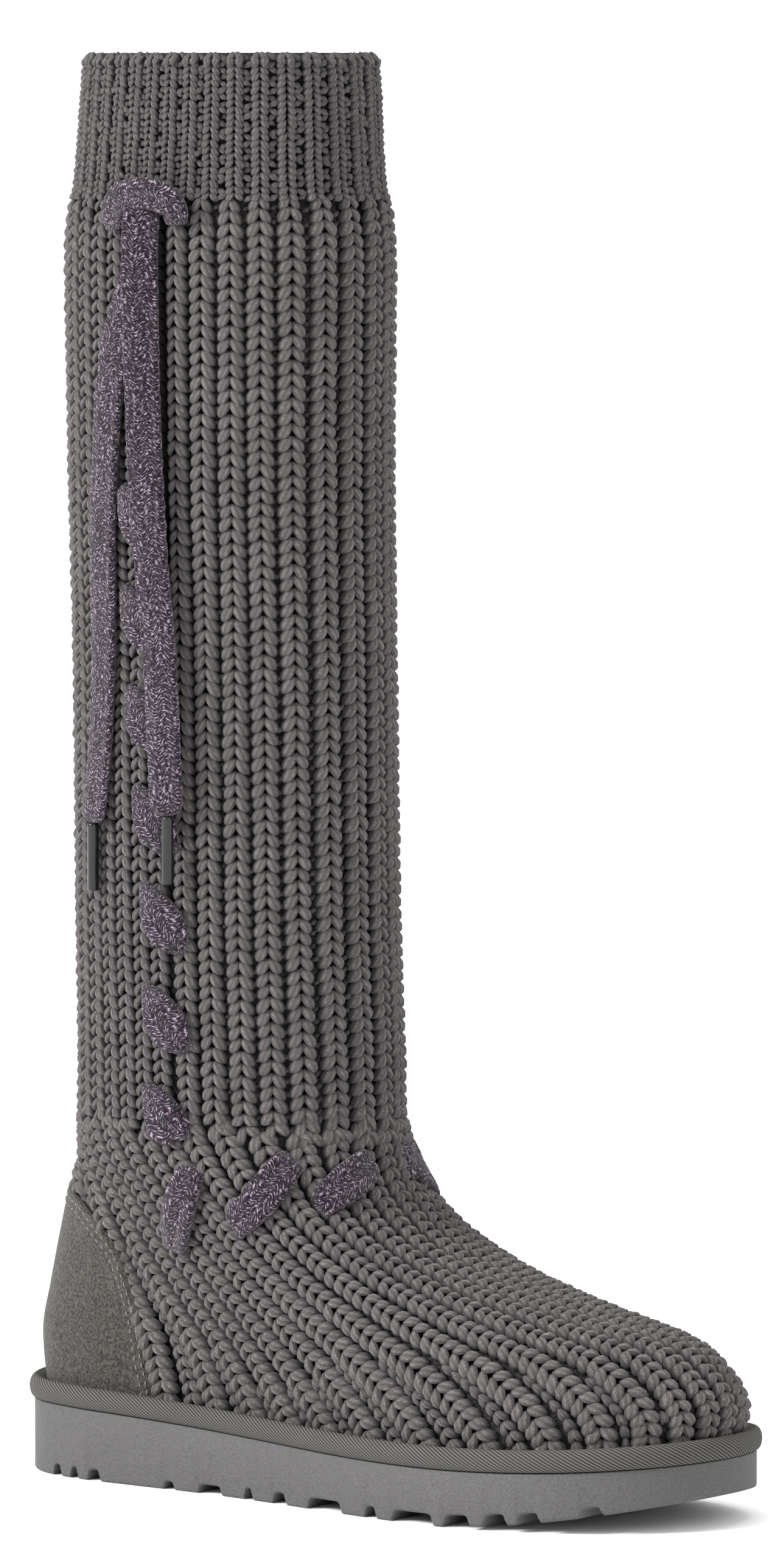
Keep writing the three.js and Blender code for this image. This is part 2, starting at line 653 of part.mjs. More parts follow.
// The origin is the middle of the standing boot's footprint, its free lace left out
const freeLace = ["lace_end_front", "lace_end_back", "lace_knot", "aglet_front", "aglet_back"];
const group = new THREE.Group();
const footprint = new THREE.Box3();
for (const [name, geometry, material] of pieces) {
  const mesh = new THREE.Mesh(geometry, material);
  mesh.name = name;
  group.add(mesh);
  if (!freeLace.includes(name)) footprint.expandByObject(mesh);
}
const middle = footprint.getCenter(new THREE.Vector3());
for (const mesh of group.children) {
  mesh.position.set(-middle.x, -middle.y, 0);
}

export default group;
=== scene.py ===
# Sweater boot, right foot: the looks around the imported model.
# Shapes are worked out in millimetres with x from the heel's back, and go to metres when a mesh is made.
import math

import bpy
import numpy as np
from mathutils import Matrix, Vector


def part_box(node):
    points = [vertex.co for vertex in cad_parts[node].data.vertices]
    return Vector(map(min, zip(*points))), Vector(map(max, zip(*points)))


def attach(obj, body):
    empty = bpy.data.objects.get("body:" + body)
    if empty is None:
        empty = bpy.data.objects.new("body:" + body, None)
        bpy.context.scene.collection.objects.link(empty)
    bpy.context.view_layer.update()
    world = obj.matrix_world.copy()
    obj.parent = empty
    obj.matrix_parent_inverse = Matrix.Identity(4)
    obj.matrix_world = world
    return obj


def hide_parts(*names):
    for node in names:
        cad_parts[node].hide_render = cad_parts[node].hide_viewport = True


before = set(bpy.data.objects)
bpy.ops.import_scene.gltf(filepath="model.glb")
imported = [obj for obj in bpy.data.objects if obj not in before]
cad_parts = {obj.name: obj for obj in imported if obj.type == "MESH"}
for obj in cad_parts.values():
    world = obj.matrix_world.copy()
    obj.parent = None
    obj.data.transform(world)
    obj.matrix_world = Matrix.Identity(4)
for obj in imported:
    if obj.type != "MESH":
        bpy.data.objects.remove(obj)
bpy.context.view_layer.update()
scene = bpy.context.scene
random = np.random.default_rng(23)
body = "root"

# The boot's own sizes, as the frame was built from them
boot = {
    "soleLength": 268, "soleWidth": 94, "heelHeight": 23.7, "ballHeight": 18.2, "toeHeight": 22.2,
    "toeSpring": 11, "lugDepth": 3.7, "ankleHeight": 122, "seamHeight": 420, "cuffHeight": 47,
    "shaftLength": 112, "shaftWidth": 95.2, "featherInset": 5.5, "clearance": 0.3,
    "ribCount": 36, "ribSpread": 1.27, "ribLean": 0.44, "wall": 5, "laceWidth": 12, "laceThickness": 3,
    "bindingHeight": 7.2, "bindingProud": 1.7, "toeTipInner": 0.048,
}
bootHeight = boot["seamHeight"] + boot["cuffHeight"]

# Sole outline: share of the length from the heel, outer and inner reach as shares of the width
outlineRows = [
    (0, 0, 0), (0.02, 0.184, 0.181), (0.06, 0.303, 0.293), (0.13, 0.367, 0.356), (0.22, 0.383, 0.376),
    (0.33, 0.394, 0.362), (0.44, 0.431, 0.351), (0.55, 0.484, 0.372), (0.65, 0.523, 0.423),
    (0.73, 0.53, 0.47), (0.81, 0.5, 0.495), (0.88, 0.431, 0.466), (0.94, 0.314, 0.391), (0.98, 0.165, 0.271),
]
# Cross grooves of the sole: start and end as shares of the length, depth as a share of the lugs
grooveRows = [
    (0.028, 0.035, 0.6), (0.088, 0.105, 1), (0.12, 0.135, 1), (0.149, 0.172, 1), (0.268, 0.287, 0.7),
    (0.322, 0.362, 0.8), (0.397, 0.413, 1), (0.444, 0.469, 1), (0.503, 0.562, 1), (0.598, 0.619, 1),
    (0.641, 0.706, 1), (0.718, 0.757, 1), (0.772, 0.805, 1), (0.815, 0.845, 0.9), (0.887, 0.912, 0.8),
]
# Shaft and cuff sections: rise as a share of ankle to seam or of the cuff, centre as a share of the
# sole's length, length and width as shares of the shaft's
shaftRows = [
    (0, 0.289, 1.018, 0.983), (0.094, 0.288, 1.005, 0.996), (0.218, 0.284, 0.996, 0.996),
    (0.483, 0.28, 0.991, 0.992), (0.752, 0.274, 1, 1), (0.936, 0.2735, 1.011, 1.011),
    (0.987, 0.273, 0.993, 0.994),
]
cuffRows = [(0.08, 0.273, 0.952, 0.956), (0.9, 0.275, 0.9, 0.905), (1, 0.275, 0.884, 0.888)]
# Foot, ankle to sole: share down, then reach and height for the front, the side and the back
footRows = [
    (0, 0, 1, 0, 1, 0, 1), (0.12, 0.027, 0.839, 0.05, 0.89, -0.035, 0.88),
    (0.27, 0.152, 0.648, 0.17, 0.75, 0.373, 0.74), (0.45, 0.391, 0.509, 0.36, 0.58, 0.695, 0.57),
    (0.64, 0.646, 0.426, 0.58, 0.41, 0.994, 0.38), (0.8, 0.902, 0.34, 0.79, 0.25, 1.202, 0.22),
    (0.92, 1.035, 0.146, 0.94, 0.1, 1.122, 0.09), (1, 1, 0, 1, 0, 1, 0),
]
# Where each direction lands on the sole's outline: share of the half turn, share of that side's outline
landingRows = [(0, 0), (0.239, 0.2), (0.45, 0.48), (0.7, 0.7), (0.861, 0.87), (1, 1)]
# Heel counter: station on the foot, half of its width as a share of half a turn
counterRows = [
    (0.285, 0.05), (0.3, 0.11), (0.33, 0.17), (0.4, 0.217), (0.5, 0.25), (0.65, 0.256), (0.8, 0.252),
    (0.95, 0.262), (1, 0.264),
]
# Lace: ends of the ankle stitches, the laced seam's turn at each rise, and the free lace's routes, each
# point a turn, a rise and a lift off the knit
ankleStitches = [
    ("front", (0.225, 0.208), (0.064, 0.093)), ("middle", (0.419, 0.336), (0.247, 0.097)),
    ("back", (0.572, 0.448), (0.447, 0.162)),
]
lacedSeamRows = [(0, 0.477), (0.22, 0.472), (0.33, 0.488), (0.44, 0.504), (0.55, 0.51), (0.7, 0.51)]
frontEndRoute = [
    (0.485, 0.994, 4.2), (0.484, 0.97, 5.2), (0.484, 0.94, 5.5), (0.483, 0.89, 5.5), (0.481, 0.82, 5.7),
    (0.477, 0.765, 6.2), (0.472, 0.707, 6.8), (0.468, 0.655, 6.8), (0.464, 0.602, 6.8), (0.458, 0.556, 6.8),
    (0.453, 0.515, 6.8), (0.45, 0.47, 6.8), (0.447, 0.427, 6.8), (0.445, 0.39, 6.8), (0.443, 0.355, 6.8),
    (0.441, 0.336, 6.8),
]
backEndRoute = [
    (0.506, 0.91, 2), (0.522, 0.89, 2), (0.54, 0.866, 2), (0.554, 0.841, 2), (0.575, 0.78, 2),
    (0.588, 0.705, 2), (0.597, 0.64, 2), (0.602, 0.57, 2), (0.605, 0.51, 2), (0.611, 0.451, 2),
    (0.618, 0.41, 2.1), (0.625, 0.376, 2.3), (0.631, 0.34, 2.9), (0.633, 0.322, 3.4),
]
knotRoute = [
    (0.55, 0.968, 2.2), (0.553, 0.984, 3.6), (0.535, 0.999, 5.8), (0.492, 1.007, 7.4),
    (0.449, 1.004, 7), (0.421, 0.992, 5.4), (0.42, 0.975, 2.4),
]


# Small helpers
def clamp01(value):
    return np.clip(value, 0, 1)


def ease(value):
    return clamp01(value) ** 2 * (3 - 2 * clamp01(value))


def mix(a, b, share):
    return a + (b - a) * share


def unit(vectors):
    return vectors / np.linalg.norm(vectors, axis=-1, keepdims=True)


# Length along a line at each of its points
def lengthsAlong(line):
    return np.concatenate([[0], np.cumsum(np.linalg.norm(np.diff(line, axis=0), axis=1))])


# A smooth curve through a table that never overshoots its rows
def curveThrough(xs, ys):
    xs, ys = np.array(xs, float), np.array(ys, float)
    slopes = np.diff(ys) / np.diff(xs)
    tangents = np.concatenate([slopes[:1], np.zeros(len(xs) - 2), slopes[-1:]])
    for i in range(1, len(xs) - 1):
        left, right = slopes[i - 1], slopes[i]
        if left * right > 0:
            tangents[i] = 2 * left * right / (left + right)

    def curve(x):
        x = np.clip(x, xs[0], xs[-1])
        i = np.clip(np.searchsorted(xs, x, side="right") - 1, 0, len(xs) - 2)
        width = xs[i + 1] - xs[i]
        u = (x - xs[i]) / width
        bend = u * (1 - u) * width * ((1 - u) * tangents[i] - u * tangents[i + 1])
        return mix(ys[i], ys[i + 1], u * u * (3 - 2 * u)) + bend
    return curve


# Points along a centripetal curve through given points, evenly spread in each span
def splinePoints(points, closed, perSpan):
    points = np.array(points, float)
    if closed:
        points = np.concatenate([points[-1:], points, points[:2]])
    else:
        points = np.concatenate([[2 * points[0] - points[1]], points, [2 * points[-1] - points[-2]]])
    share = np.arange(perSpan)[:, None] / perSpan
    made = []
    for p0, p1, p2, p3 in zip(points, points[1:], points[2:], points[3:]):
        d0, d1, d2 = (np.linalg.norm(b - a) ** 0.5 for a, b in ((p0, p1), (p1, p2), (p2, p3)))
        start = ((p1 - p0) / d0 - (p2 - p0) / (d0 + d1) + (p2 - p1) / d1) * d1
        end = ((p2 - p1) / d1 - (p3 - p1) / (d1 + d2) + (p3 - p2) / d2) * d1
        made.append(p1 + start * share + (-3 * p1 + 3 * p2 - 2 * start - end) * share ** 2
                    + (2 * p1 - 2 * p2 + start + end) * share ** 3)
    return np.concatenate(made + ([] if closed else [points[-2:-1]]))


# Sole outline, clockwise from the toe's tip along the outer side to the heel and back
def makeOutline():
    length, width = boot["soleLength"], boot["soleWidth"]
    tip = [(length, boot["toeTipInner"] * width)]
    outer = [(along * length, -reach * width) for along, reach, _ in outlineRows[::-1]]
    inner = [(along * length, reach * width) for along, _, reach in outlineRows[1:]]
    loop = splinePoints(tip + outer + inner, True, 40)
    loop = np.concatenate([loop, loop[:1]])
    arc = lengthsAlong(loop)
    return loop, arc / arc[-1]


outline, outlineArc = makeOutline()
heelShare = outlineArc[np.argmin(outline[:, 0])]
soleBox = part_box("outsole")
shift = np.array([soleBox[0][0] * 1000 - outline[:, 0].min(), soleBox[0][1] * 1000 - outline[:, 1].min(), 0])


def outlineAt(share):
    return np.stack([np.interp(share % 1, outlineArc, outline[:, axis]) for axis in (0, 1)], -1)


landing = curveThrough(*zip(*landingRows))


def soleEdge(angle):
    turn = angle / math.pi - 2 * np.floor(angle / (2 * math.pi))
    share = np.where(turn <= 1, landing(turn) * heelShare, 1 - landing(2 - turn) * (1 - heelShare))
    tangent = outlineAt(share + 0.002) - outlineAt(share - 0.002)
    return outlineAt(share), unit(np.stack([-tangent[..., 1], tangent[..., 0]], -1))


def soleTop(x):
    share = x / boot["soleLength"]
    low = mix(boot["heelHeight"], boot["ballHeight"], ease((share - 0.05) / 0.6))
    return low + (boot["toeHeight"] - boot["ballHeight"]) * clamp01((share - 0.68) / 0.32) ** 1.8


def soleUnder(x):
    return boot["toeSpring"] * clamp01((x / boot["soleLength"] - 0.7) / 0.3) ** 1.5


# The crest of the knit: angle 0 is the front, a quarter turn the outer side; station -1 is the collar,
# 0 the ankle and 1 the sole
sections = [(mix(boot["ankleHeight"], boot["seamHeight"], rise), *rest) for rise, *rest in shaftRows]
sections += [(boot["seamHeight"] + rise * boot["cuffHeight"], *rest) for rise, *rest in cuffRows]
heights, centres, lengths, widths = (np.array(column) for column in zip(*sections))
shaftCentre = curveThrough(heights, centres * boot["soleLength"])
shaftHalfLength = curveThrough(heights, lengths * boot["shaftLength"] / 2)
shaftHalfWidth = curveThrough(heights, widths * boot["shaftWidth"] / 2)
footColumns = list(zip(*footRows))
footCurves = [curveThrough(footColumns[0], column) for column in footColumns[1:]]


def shaftPoint(angle, height):
    return np.stack([shaftCentre(height) + shaftHalfLength(height) * np.cos(angle),
                     -shaftHalfWidth(height) * np.sin(angle), height], -1)


def footPoint(angle, down):
    ankle = shaftPoint(angle, np.full(np.shape(angle), float(boot["ankleHeight"])))
    edge, normal = soleEdge(angle)
    feather = edge - normal * boot["featherInset"]
    ahead = np.cos(angle)
    front = np.where(ahead > 0, ahead ** 2, 0)
    back = np.where(ahead < 0, ahead ** 2, 0)
    shares = (front, 1 - front - back, back)
    reach = sum(share * footCurves[2 * i](down) for i, share in enumerate(shares))
    height = sum(share * footCurves[2 * i + 1](down) for i, share in enumerate(shares))
    level = mix(ankle[..., :2], feather, reach[..., None])
    floor = soleTop(feather[..., 0]) + boot["clearance"]
    return np.concatenate([level, mix(floor, boot["ankleHeight"], height)[..., None]], -1)


def crest(angle, station):
    angle, station = np.broadcast_arrays(np.asarray(angle, float), np.asarray(station, float))
    onShaft = shaftPoint(angle, mix(boot["ankleHeight"], bootHeight, -station))
    return np.where((station > 0)[..., None], footPoint(angle, clamp01(station)), onShaft)


def outward(angle, station):
    angle, station = np.broadcast_arrays(np.asarray(angle, float), np.asarray(station, float))
    step = 0.01
    around = crest(angle + step, station) - crest(angle - step, station)
    along = crest(angle, np.minimum(station + step, 1)) - crest(angle, station - step)
    normal = unit(np.cross(around, along))
    normal[..., 2] *= np.where(station <= 0, 0, 1 - ease((station - 0.86) / 0.12))
    return unit(normal)


def upperPoint(angle, station, lift=0.0):
    return crest(angle, station) + outward(angle, station) * np.asarray(lift)[..., None]


def stationAt(height):
    return -(height - boot["ankleHeight"]) / (bootHeight - boot["ankleHeight"])


def stationOfShaft(rise):
    return stationAt(mix(boot["ankleHeight"], boot["seamHeight"], rise))


# A place round the boot is a number of the solid's ribs from the front, whole on a rib, half between two
def ribAngle(rib, station):
    turn = rib * 2 * math.pi / boot["ribCount"]
    base = np.arctan2(boot["ribSpread"] * np.sin(turn), np.cos(turn))
    return base - boot["ribLean"] * np.sin(base) * clamp01(station)


# Mesh making
def toRow(points):
    return (np.asarray(points, float) + shift) / 1000


# A piece from points and groups of faces, each group with one number of corners
def makePiece(name, points, faces, finish, replaced=(), uvs=None, values=None):
    mesh = bpy.data.meshes.new(name)
    sizes = np.concatenate([np.full(len(part), part.shape[1]) for part in faces])
    corners = np.concatenate([part.ravel() for part in faces]).astype(np.int32)
    mesh.vertices.add(len(points))
    mesh.vertices.foreach_set("co", toRow(points).astype(np.float32).ravel())
    mesh.loops.add(len(corners))
    mesh.loops.foreach_set("vertex_index", corners)
    mesh.polygons.add(len(sizes))
    mesh.polygons.foreach_set("loop_start", np.concatenate([[0], np.cumsum(sizes)[:-1]]).astype(np.int32))
    mesh.polygons.foreach_set("use_smooth", np.ones(len(sizes), bool))
    mesh.update(calc_edges=True)
    if uvs is not None:
        places = np.concatenate([part.ravel() for part in uvs]).astype(np.float32)
        mesh.uv_layers.new(name="yarn").data.foreach_set("uv", places)
    for key, value in (values or {}).items():
        mesh.attributes.new(key, "FLOAT", "POINT").data.foreach_set("value", value.astype(np.float32))
    mesh.validate()
    mesh.materials.append(finish.material)
    piece = bpy.data.objects.new(name, mesh)
    scene.collection.objects.link(piece)
    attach(piece, body)
    if replaced:
        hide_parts(*replaced)
    return piece


# Quads between rows of a grid of points, closed round the columns if wrapped
def gridFaces(rows, cols, wrapped, start=0):
    i = np.arange(rows - 1)[:, None] * cols
    j = np.arange(cols if wrapped else cols - 1)[None, :]
    k = (j + 1) % cols
    quads = np.stack(np.broadcast_arrays(i + j, i + cols + j, i + cols + k, i + k), -1).reshape(-1, 4)
    return quads + start


# A grid's texture places at the corners of its quads, from one value a row and one a column
def gridUvs(down, aside, rows, cols):
    i, j = np.repeat(np.arange(rows - 1), cols), np.tile(np.arange(cols), rows - 1)
    return cornerUvs([(down[a], aside[b]) for a, b in ((i, j), (i + 1, j), (i + 1, j + 1), (i, j + 1))])


def cornerUvs(corners):
    return np.stack([np.stack(np.broadcast_arrays(u, v), -1) for u, v in corners], 1)


# The two end faces of a tube
def endCaps(rows, sides, start=0):
    return start + np.array([np.arange(sides), (rows - 1) * sides + np.arange(sides)[::-1]])


# Shader nodes: a wire is an output socket that can be used in sums
class Wire:
    def __init__(self, finish, socket):
        self.finish, self.socket = finish, socket

    def math(self, operation, *values):
        inputs = dict(enumerate(values))
        return self.finish.node("ShaderNodeMath", {"operation": operation}, inputs)

    def __add__(self, other):
        return self.math("ADD", self, other)

    def __radd__(self, other):
        return self.math("ADD", other, self)

    def __sub__(self, other):
        return self.math("SUBTRACT", self, other)

    def __rsub__(self, other):
        return self.math("SUBTRACT", other, self)

    def __mul__(self, other):
        return self.math("MULTIPLY", self, other)

    def __rmul__(self, other):
        return self.math("MULTIPLY", other, self)

    def wave(self):
        return self.math("SINE", self)

    # A wave between 0 and 1 that repeats at each whole number
    def ripple(self):
        return (self * (2 * math.pi)).wave() * 0.5 + 0.5

    def held(self, low, high):
        return self.finish.node("ShaderNodeMapRange", {"interpolation_type": "SMOOTHSTEP"},
                                {"Value": self, "From Min": low, "From Max": high})


class Finish:
    def __init__(self, name, values):
        self.material = bpy.data.materials.new(name)
        self.material.use_nodes = True
        self.tree = self.material.node_tree
        self.shader = self.tree.nodes["Principled BSDF"]
        for socket, value in values.items():
            self.shader.inputs[socket].default_value = value

    def node(self, kind, settings, inputs, output=0):
        made = self.tree.nodes.new(kind)
        for key, value in settings.items():
            setattr(made, key, value)
        for key, value in inputs.items():
            self.plug(made.inputs[key], value)
        return Wire(self, made.outputs[output])

    def plug(self, socket, value):
        if isinstance(value, Wire):
            self.tree.links.new(value.socket, socket)
        else:
            socket.default_value = value

    def yarnPlace(self):
        uv = self.node("ShaderNodeUVMap", {"uv_map": "yarn"}, {})
        parts = self.tree.nodes.new("ShaderNodeSeparateXYZ")
        self.plug(parts.inputs[0], uv)
        return Wire(self, parts.outputs[0]), Wire(self, parts.outputs[1])

    def noise(self, size, detail=2, place=None):
        scale = 1000 / size if place is None else 1 / size
        if place is None:
            place = self.node("ShaderNodeTexCoord", {}, {}, "Object")
        return self.node("ShaderNodeTexNoise", {}, {"Vector": place, "Scale": scale, "Detail": detail})

    def value(self, name):
        return self.node("ShaderNodeAttribute", {"attribute_name": name}, {}, "Fac")

    def pair(self, x, y):
        return self.node("ShaderNodeCombineXYZ", {}, {0: x, 1: y})

    def blend(self, share, first, second):
        return self.node("ShaderNodeMix", {"data_type": "RGBA"}, {0: share, 6: first, 7: second}, 2)

    def bump(self, height, distance, strength=1.0):
        inputs = {"Height": height, "Distance": distance / 1000, "Strength": strength}
        return self.node("ShaderNodeBump", {}, inputs)

    def set(self, **links):
        sockets = {"colour": "Base Color", "rough": "Roughness", "normal": "Normal"}
        for name, value in links.items():
            self.plug(self.shader.inputs[sockets[name]], value)
        return self


# Camera at the photograph's viewing angle: a long lens almost level with the collar
view = {"azimuth": 35.29, "distance": 3002.3, "height": 457.6, "yaw": -0.0455, "pitch": 4.314,
        "focal": 15284.3, "longSide": 2576}


def addCamera():
    data = bpy.data.cameras.new("camera")
    camera = bpy.data.objects.new("camera", data)
    scene.collection.objects.link(camera)
    around = math.radians(view["azimuth"])
    ahead, aside = view["distance"] * math.sin(around), view["distance"] * math.cos(around)
    camera.location = toRow([boot["soleLength"] / 2 + ahead, -aside, view["height"]])
    heading = math.radians(view["azimuth"] + view["yaw"])
    level, drop = math.cos(math.radians(view["pitch"])), math.sin(math.radians(view["pitch"]))
    forward = Vector((-math.sin(heading) * level, math.cos(heading) * level, -drop))
    camera.rotation_euler = forward.to_track_quat("-Z", "Y").to_euler()
    data.sensor_width = 36
    data.lens = view["focal"] * data.sensor_width / view["longSide"]
    data.clip_start, data.clip_end = 0.1, 50
    scene.camera = camera


addCamera()
print("stage: camera")

# Finishes: colours, then the sizes of their grain and the height of their relief in millimetres
# Knit colours: shade is painted shade between the plies and the dark end of the random tone, glint a painted
# highlight on the ply crests, and deep the painted shade in the creases between leaves
knitLook = {"yarn": (0.118, 0.105, 0.104, 1), "shade": (0.027, 0.023, 0.023, 1),
            "glint": (0.38, 0.345, 0.345, 1), "deep": (0.005, 0.004, 0.004, 1),
            "plies": 26, "twist": 1.2, "fray": 0.9, "patch": 24, "relief": 0.32}


def makeKnit():
    finish = Finish("knit", {"Roughness": 0.9, "Sheen Weight": 0.12, "Sheen Roughness": 0.5,
                             "Specular IOR Level": 0.2})
    along, lap = finish.yarnPlace()
    fray = finish.noise(knitLook["fray"], 3)
    strand = (along * knitLook["twist"] + lap * knitLook["plies"] + fray * 1.6).ripple()
    ply = (along * 0.8 + lap * 5 + fray * 0.6).ripple()
    ridge = strand * 0.65 + ply * 0.35
    # Painted shade: the dark shade colour in the grooves between the plies, the yarn colour on their crests
    wearAndShade = finish.blend(ridge.held(0.05, 0.6), knitLook["shade"], knitLook["yarn"])
    # Painted highlight: the pale glint colour on the ply crests where the fray noise is high
    lit = finish.blend((ridge * fray).held(0.34, 0.62) * 0.6, wearAndShade, knitLook["glint"])
    patch = finish.noise(knitLook["patch"], 1)
    varied = finish.blend((patch - 0.35) * 0.3 + finish.value("tint") * 0.22, lit, knitLook["shade"])
    # Painted shade: the knit goes to the near-black deep colour where the depth value is low, in the creases
    # and hollows between the leaves
    shaded = finish.blend(1 - finish.value("depth").held(0.0, 0.9), varied, knitLook["deep"])
    return finish.set(colour=shaded, normal=finish.bump(ridge, knitLook["relief"], 0.9))


# The wall behind the stitches is nearly black: painted shade where the gaps between the leaves open onto it
underKnitShadeLook = {"dark": (0.008, 0.007, 0.007, 1), "pale": (0.035, 0.032, 0.032, 1), "grain": 0.9,
                 "detail": 3, "from": 0.35, "relief": 0.5}
footbedLook = {"dark": (0.07, 0.065, 0.06, 1), "pale": (0.16, 0.15, 0.14, 1), "grain": 1.2, "detail": 4,
               "from": 0.3, "relief": 0.6}


def makeFelt(name, look):
    finish = Finish(name, {"Roughness": 1.0, "Specular IOR Level": 0.1})
    grain = finish.noise(look["grain"], look["detail"])
    colour = finish.blend(grain.held(look["from"], 0.7), look["dark"], look["pale"])
    return finish.set(colour=colour, normal=finish.bump(grain, look["relief"], 0.8))


laceLook = {"pale": (0.30, 0.24, 0.30, 1), "mid": (0.025, 0.018, 0.026, 1), "dark": (0.003, 0.002, 0.004, 1),
            "column": 3.4, "fleck": 0.62, "tuft": 0.55, "cloud": 5, "relief": 1.4}


def makeLace():
    finish = Finish("lace", {"Roughness": 0.95, "Sheen Weight": 0.15, "Sheen Roughness": 0.4,
                             "Specular IOR Level": 0.15})
    along, across = finish.yarnPlace()  # both in millimetres
    lean = (across * (math.pi / laceLook["column"])).wave()
    fleck = finish.noise(laceLook["fleck"], 3, finish.pair((along + lean * 1.15) * 1.25, across * 0.5))
    tuft, cloud = finish.noise(laceLook["tuft"], 3), finish.noise(laceLook["cloud"], 2)
    mottle = fleck * 0.75 + tuft * 0.17 + cloud * 0.08
    deep = finish.blend(mottle.held(0.41, 0.53), laceLook["dark"], laceLook["mid"])
    lit = finish.blend(mottle.held(0.525, 0.625), deep, laceLook["pale"])
    return finish.set(colour=lit, normal=finish.bump(mottle, laceLook["relief"]))


suedeLook = {"dark": (0.005, 0.004, 0.003, 1), "pale": (0.052, 0.048, 0.040, 1),
             "wearAndShade": (0.020, 0.018, 0.014, 1), "nap": 0.8, "cloud": 18, "relief": 0.5}


def makeSuede():
    finish = Finish("suede", {"Roughness": 0.95, "Sheen Weight": 0.15, "Sheen Roughness": 0.6,
                              "Specular IOR Level": 0.15})
    nap, cloud = finish.noise(suedeLook["nap"], 4), finish.noise(suedeLook["cloud"], 2)
    speck = finish.blend(nap.held(0.34, 0.66), suedeLook["dark"], suedeLook["pale"])
    colour = finish.blend((cloud - 0.4) * 0.5, speck, suedeLook["wearAndShade"])
    return finish.set(colour=colour, normal=finish.bump(nap, suedeLook["relief"]))


tapeLook = {"dark": (0.022, 0.021, 0.019, 1), "pale": (0.118, 0.114, 0.105, 1), "twill": 1.1, "thread": 0.7,
            "relief": 0.35}


def makeTape():
    finish = Finish("tape", {"Roughness": 0.85, "Specular IOR Level": 0.2})
    along, across = finish.yarnPlace()
    ridge = ((across - along * 0.62) * (1 / tapeLook["twill"])).ripple()
    thread = ((along + across * 0.7) * (1 / tapeLook["thread"])).ripple()
    weave = ridge * 0.7 + ridge * thread * 0.3
    colour = finish.blend(weave.held(0.05, 0.85), tapeLook["dark"], tapeLook["pale"])
    return finish.set(colour=colour, normal=finish.bump(weave, tapeLook["relief"], 0.9))


foamLook = {"dark": (0.052, 0.049, 0.051, 1), "pale": (0.090, 0.087, 0.089, 1), "grain": 0.6, "cloud": 30,
            "relief": 0.3}


def makeFoam():
    finish = Finish("foam", {"Roughness": 0.62, "Specular IOR Level": 0.35})
    grain, cloud = finish.noise(foamLook["grain"], 3), finish.noise(foamLook["cloud"], 2)
    pits = grain.held(0.3, 0.62) * 0.6 + (cloud - 0.5) * 0.2
    colour = finish.blend(pits, foamLook["dark"], foamLook["pale"])
    return finish.set(colour=colour, normal=finish.bump(grain, foamLook["relief"], 0.9))


threadLook = {"dark": (0.08, 0.075, 0.065, 1), "pale": (0.21, 0.20, 0.175, 1), "relief": 0.1}


def makeThread():
    finish = Finish("thread", {"Roughness": 0.7})
    along, lap = finish.yarnPlace()
    ply = (along * 2.5 + lap * 2).ripple()
    colour = finish.blend(ply, threadLook["dark"], threadLook["pale"])
    return finish.set(colour=colour, normal=finish.bump(ply, threadLook["relief"]))


metalLook = {"dark": (0.003, 0.003, 0.003, 1), "pale": (0.008, 0.007, 0.008, 1), "wear": 5, "relief": 0.03}


def makeMetal():
    finish = Finish("metal", {"Specular IOR Level": 0.4})
    wear = finish.noise(metalLook["wear"], 3)
    colour = finish.blend(wear, metalLook["dark"], metalLook["pale"])
    relief = finish.bump(wear, metalLook["relief"], 0.3)
    return finish.set(colour=colour, rough=0.16 + 0.1 * wear, normal=relief)


knit, lace, suede, tape = makeKnit(), makeLace(), makeSuede(), makeTape()
underKnitShade, footbed = makeFelt("underknit_shade", underKnitShadeLook), makeFelt("footbed", footbedLook)
foam, thread, metal = makeFoam(), makeThread(), makeMetal()
print("stage: finishes")


# Bands of lace: a flat soft section swept along centres, with its flat face turned to the knit
bandLook = {"sides": 18, "round": 3.2}


def sweepBand(centres, normals, widths, thickness, wobble):
    ahead = np.gradient(centres, axis=0)
    across = unit(np.cross(ahead, normals))
    up = unit(np.cross(across, ahead))
    count, sides = len(centres), bandLook["sides"]
    angle = 2 * math.pi * np.arange(sides) / sides
    power = 2 / bandLook["round"]
    wide = np.sign(np.cos(angle)) * np.abs(np.cos(angle)) ** power
    high = np.sign(np.sin(angle)) * np.abs(np.sin(angle)) ** power
    rough = 1 + wobble * random.standard_normal((count, sides))
    half = (widths / 2)[:, None] * wide * rough
    rise = (thickness / 2)[:, None] * high * (1 + 2 * wobble * random.standard_normal((count, sides)))
    points = centres[:, None] + across[:, None] * half[..., None] + up[:, None] * rise[..., None]
    lap = np.hypot(np.diff(wide, append=wide[0]) * boot["laceWidth"] / 2,
                   np.diff(high, append=high[0]) * boot["laceThickness"] / 2)
    lap = np.concatenate([[0], np.cumsum(lap)])
    faces, uvs = gridFaces(count, sides, True), gridUvs(lengthsAlong(centres), lap, count, sides)
    return points.reshape(-1, 3), [faces, endCaps(count, sides)], [uvs, np.zeros((2, sides, 2))]


# The free lace: centres and normals of a run along a route
def laceRun(route, perSpan):
    turns, rises, lifts = np.array(route).T
    spots = upperPoint(turns * math.pi, stationOfShaft(rises), lifts)
    centres = splinePoints(spots, False, perSpan)
    place = np.arange(len(centres)) / perSpan
    turn, rise = (np.interp(place, np.arange(len(route)), column) for column in (turns, rises))
    return centres, outward(turn * math.pi, stationOfShaft(rise))


agletLook = {"length": 22, "width": 3.8, "sides": 28, "lip": 0.35}


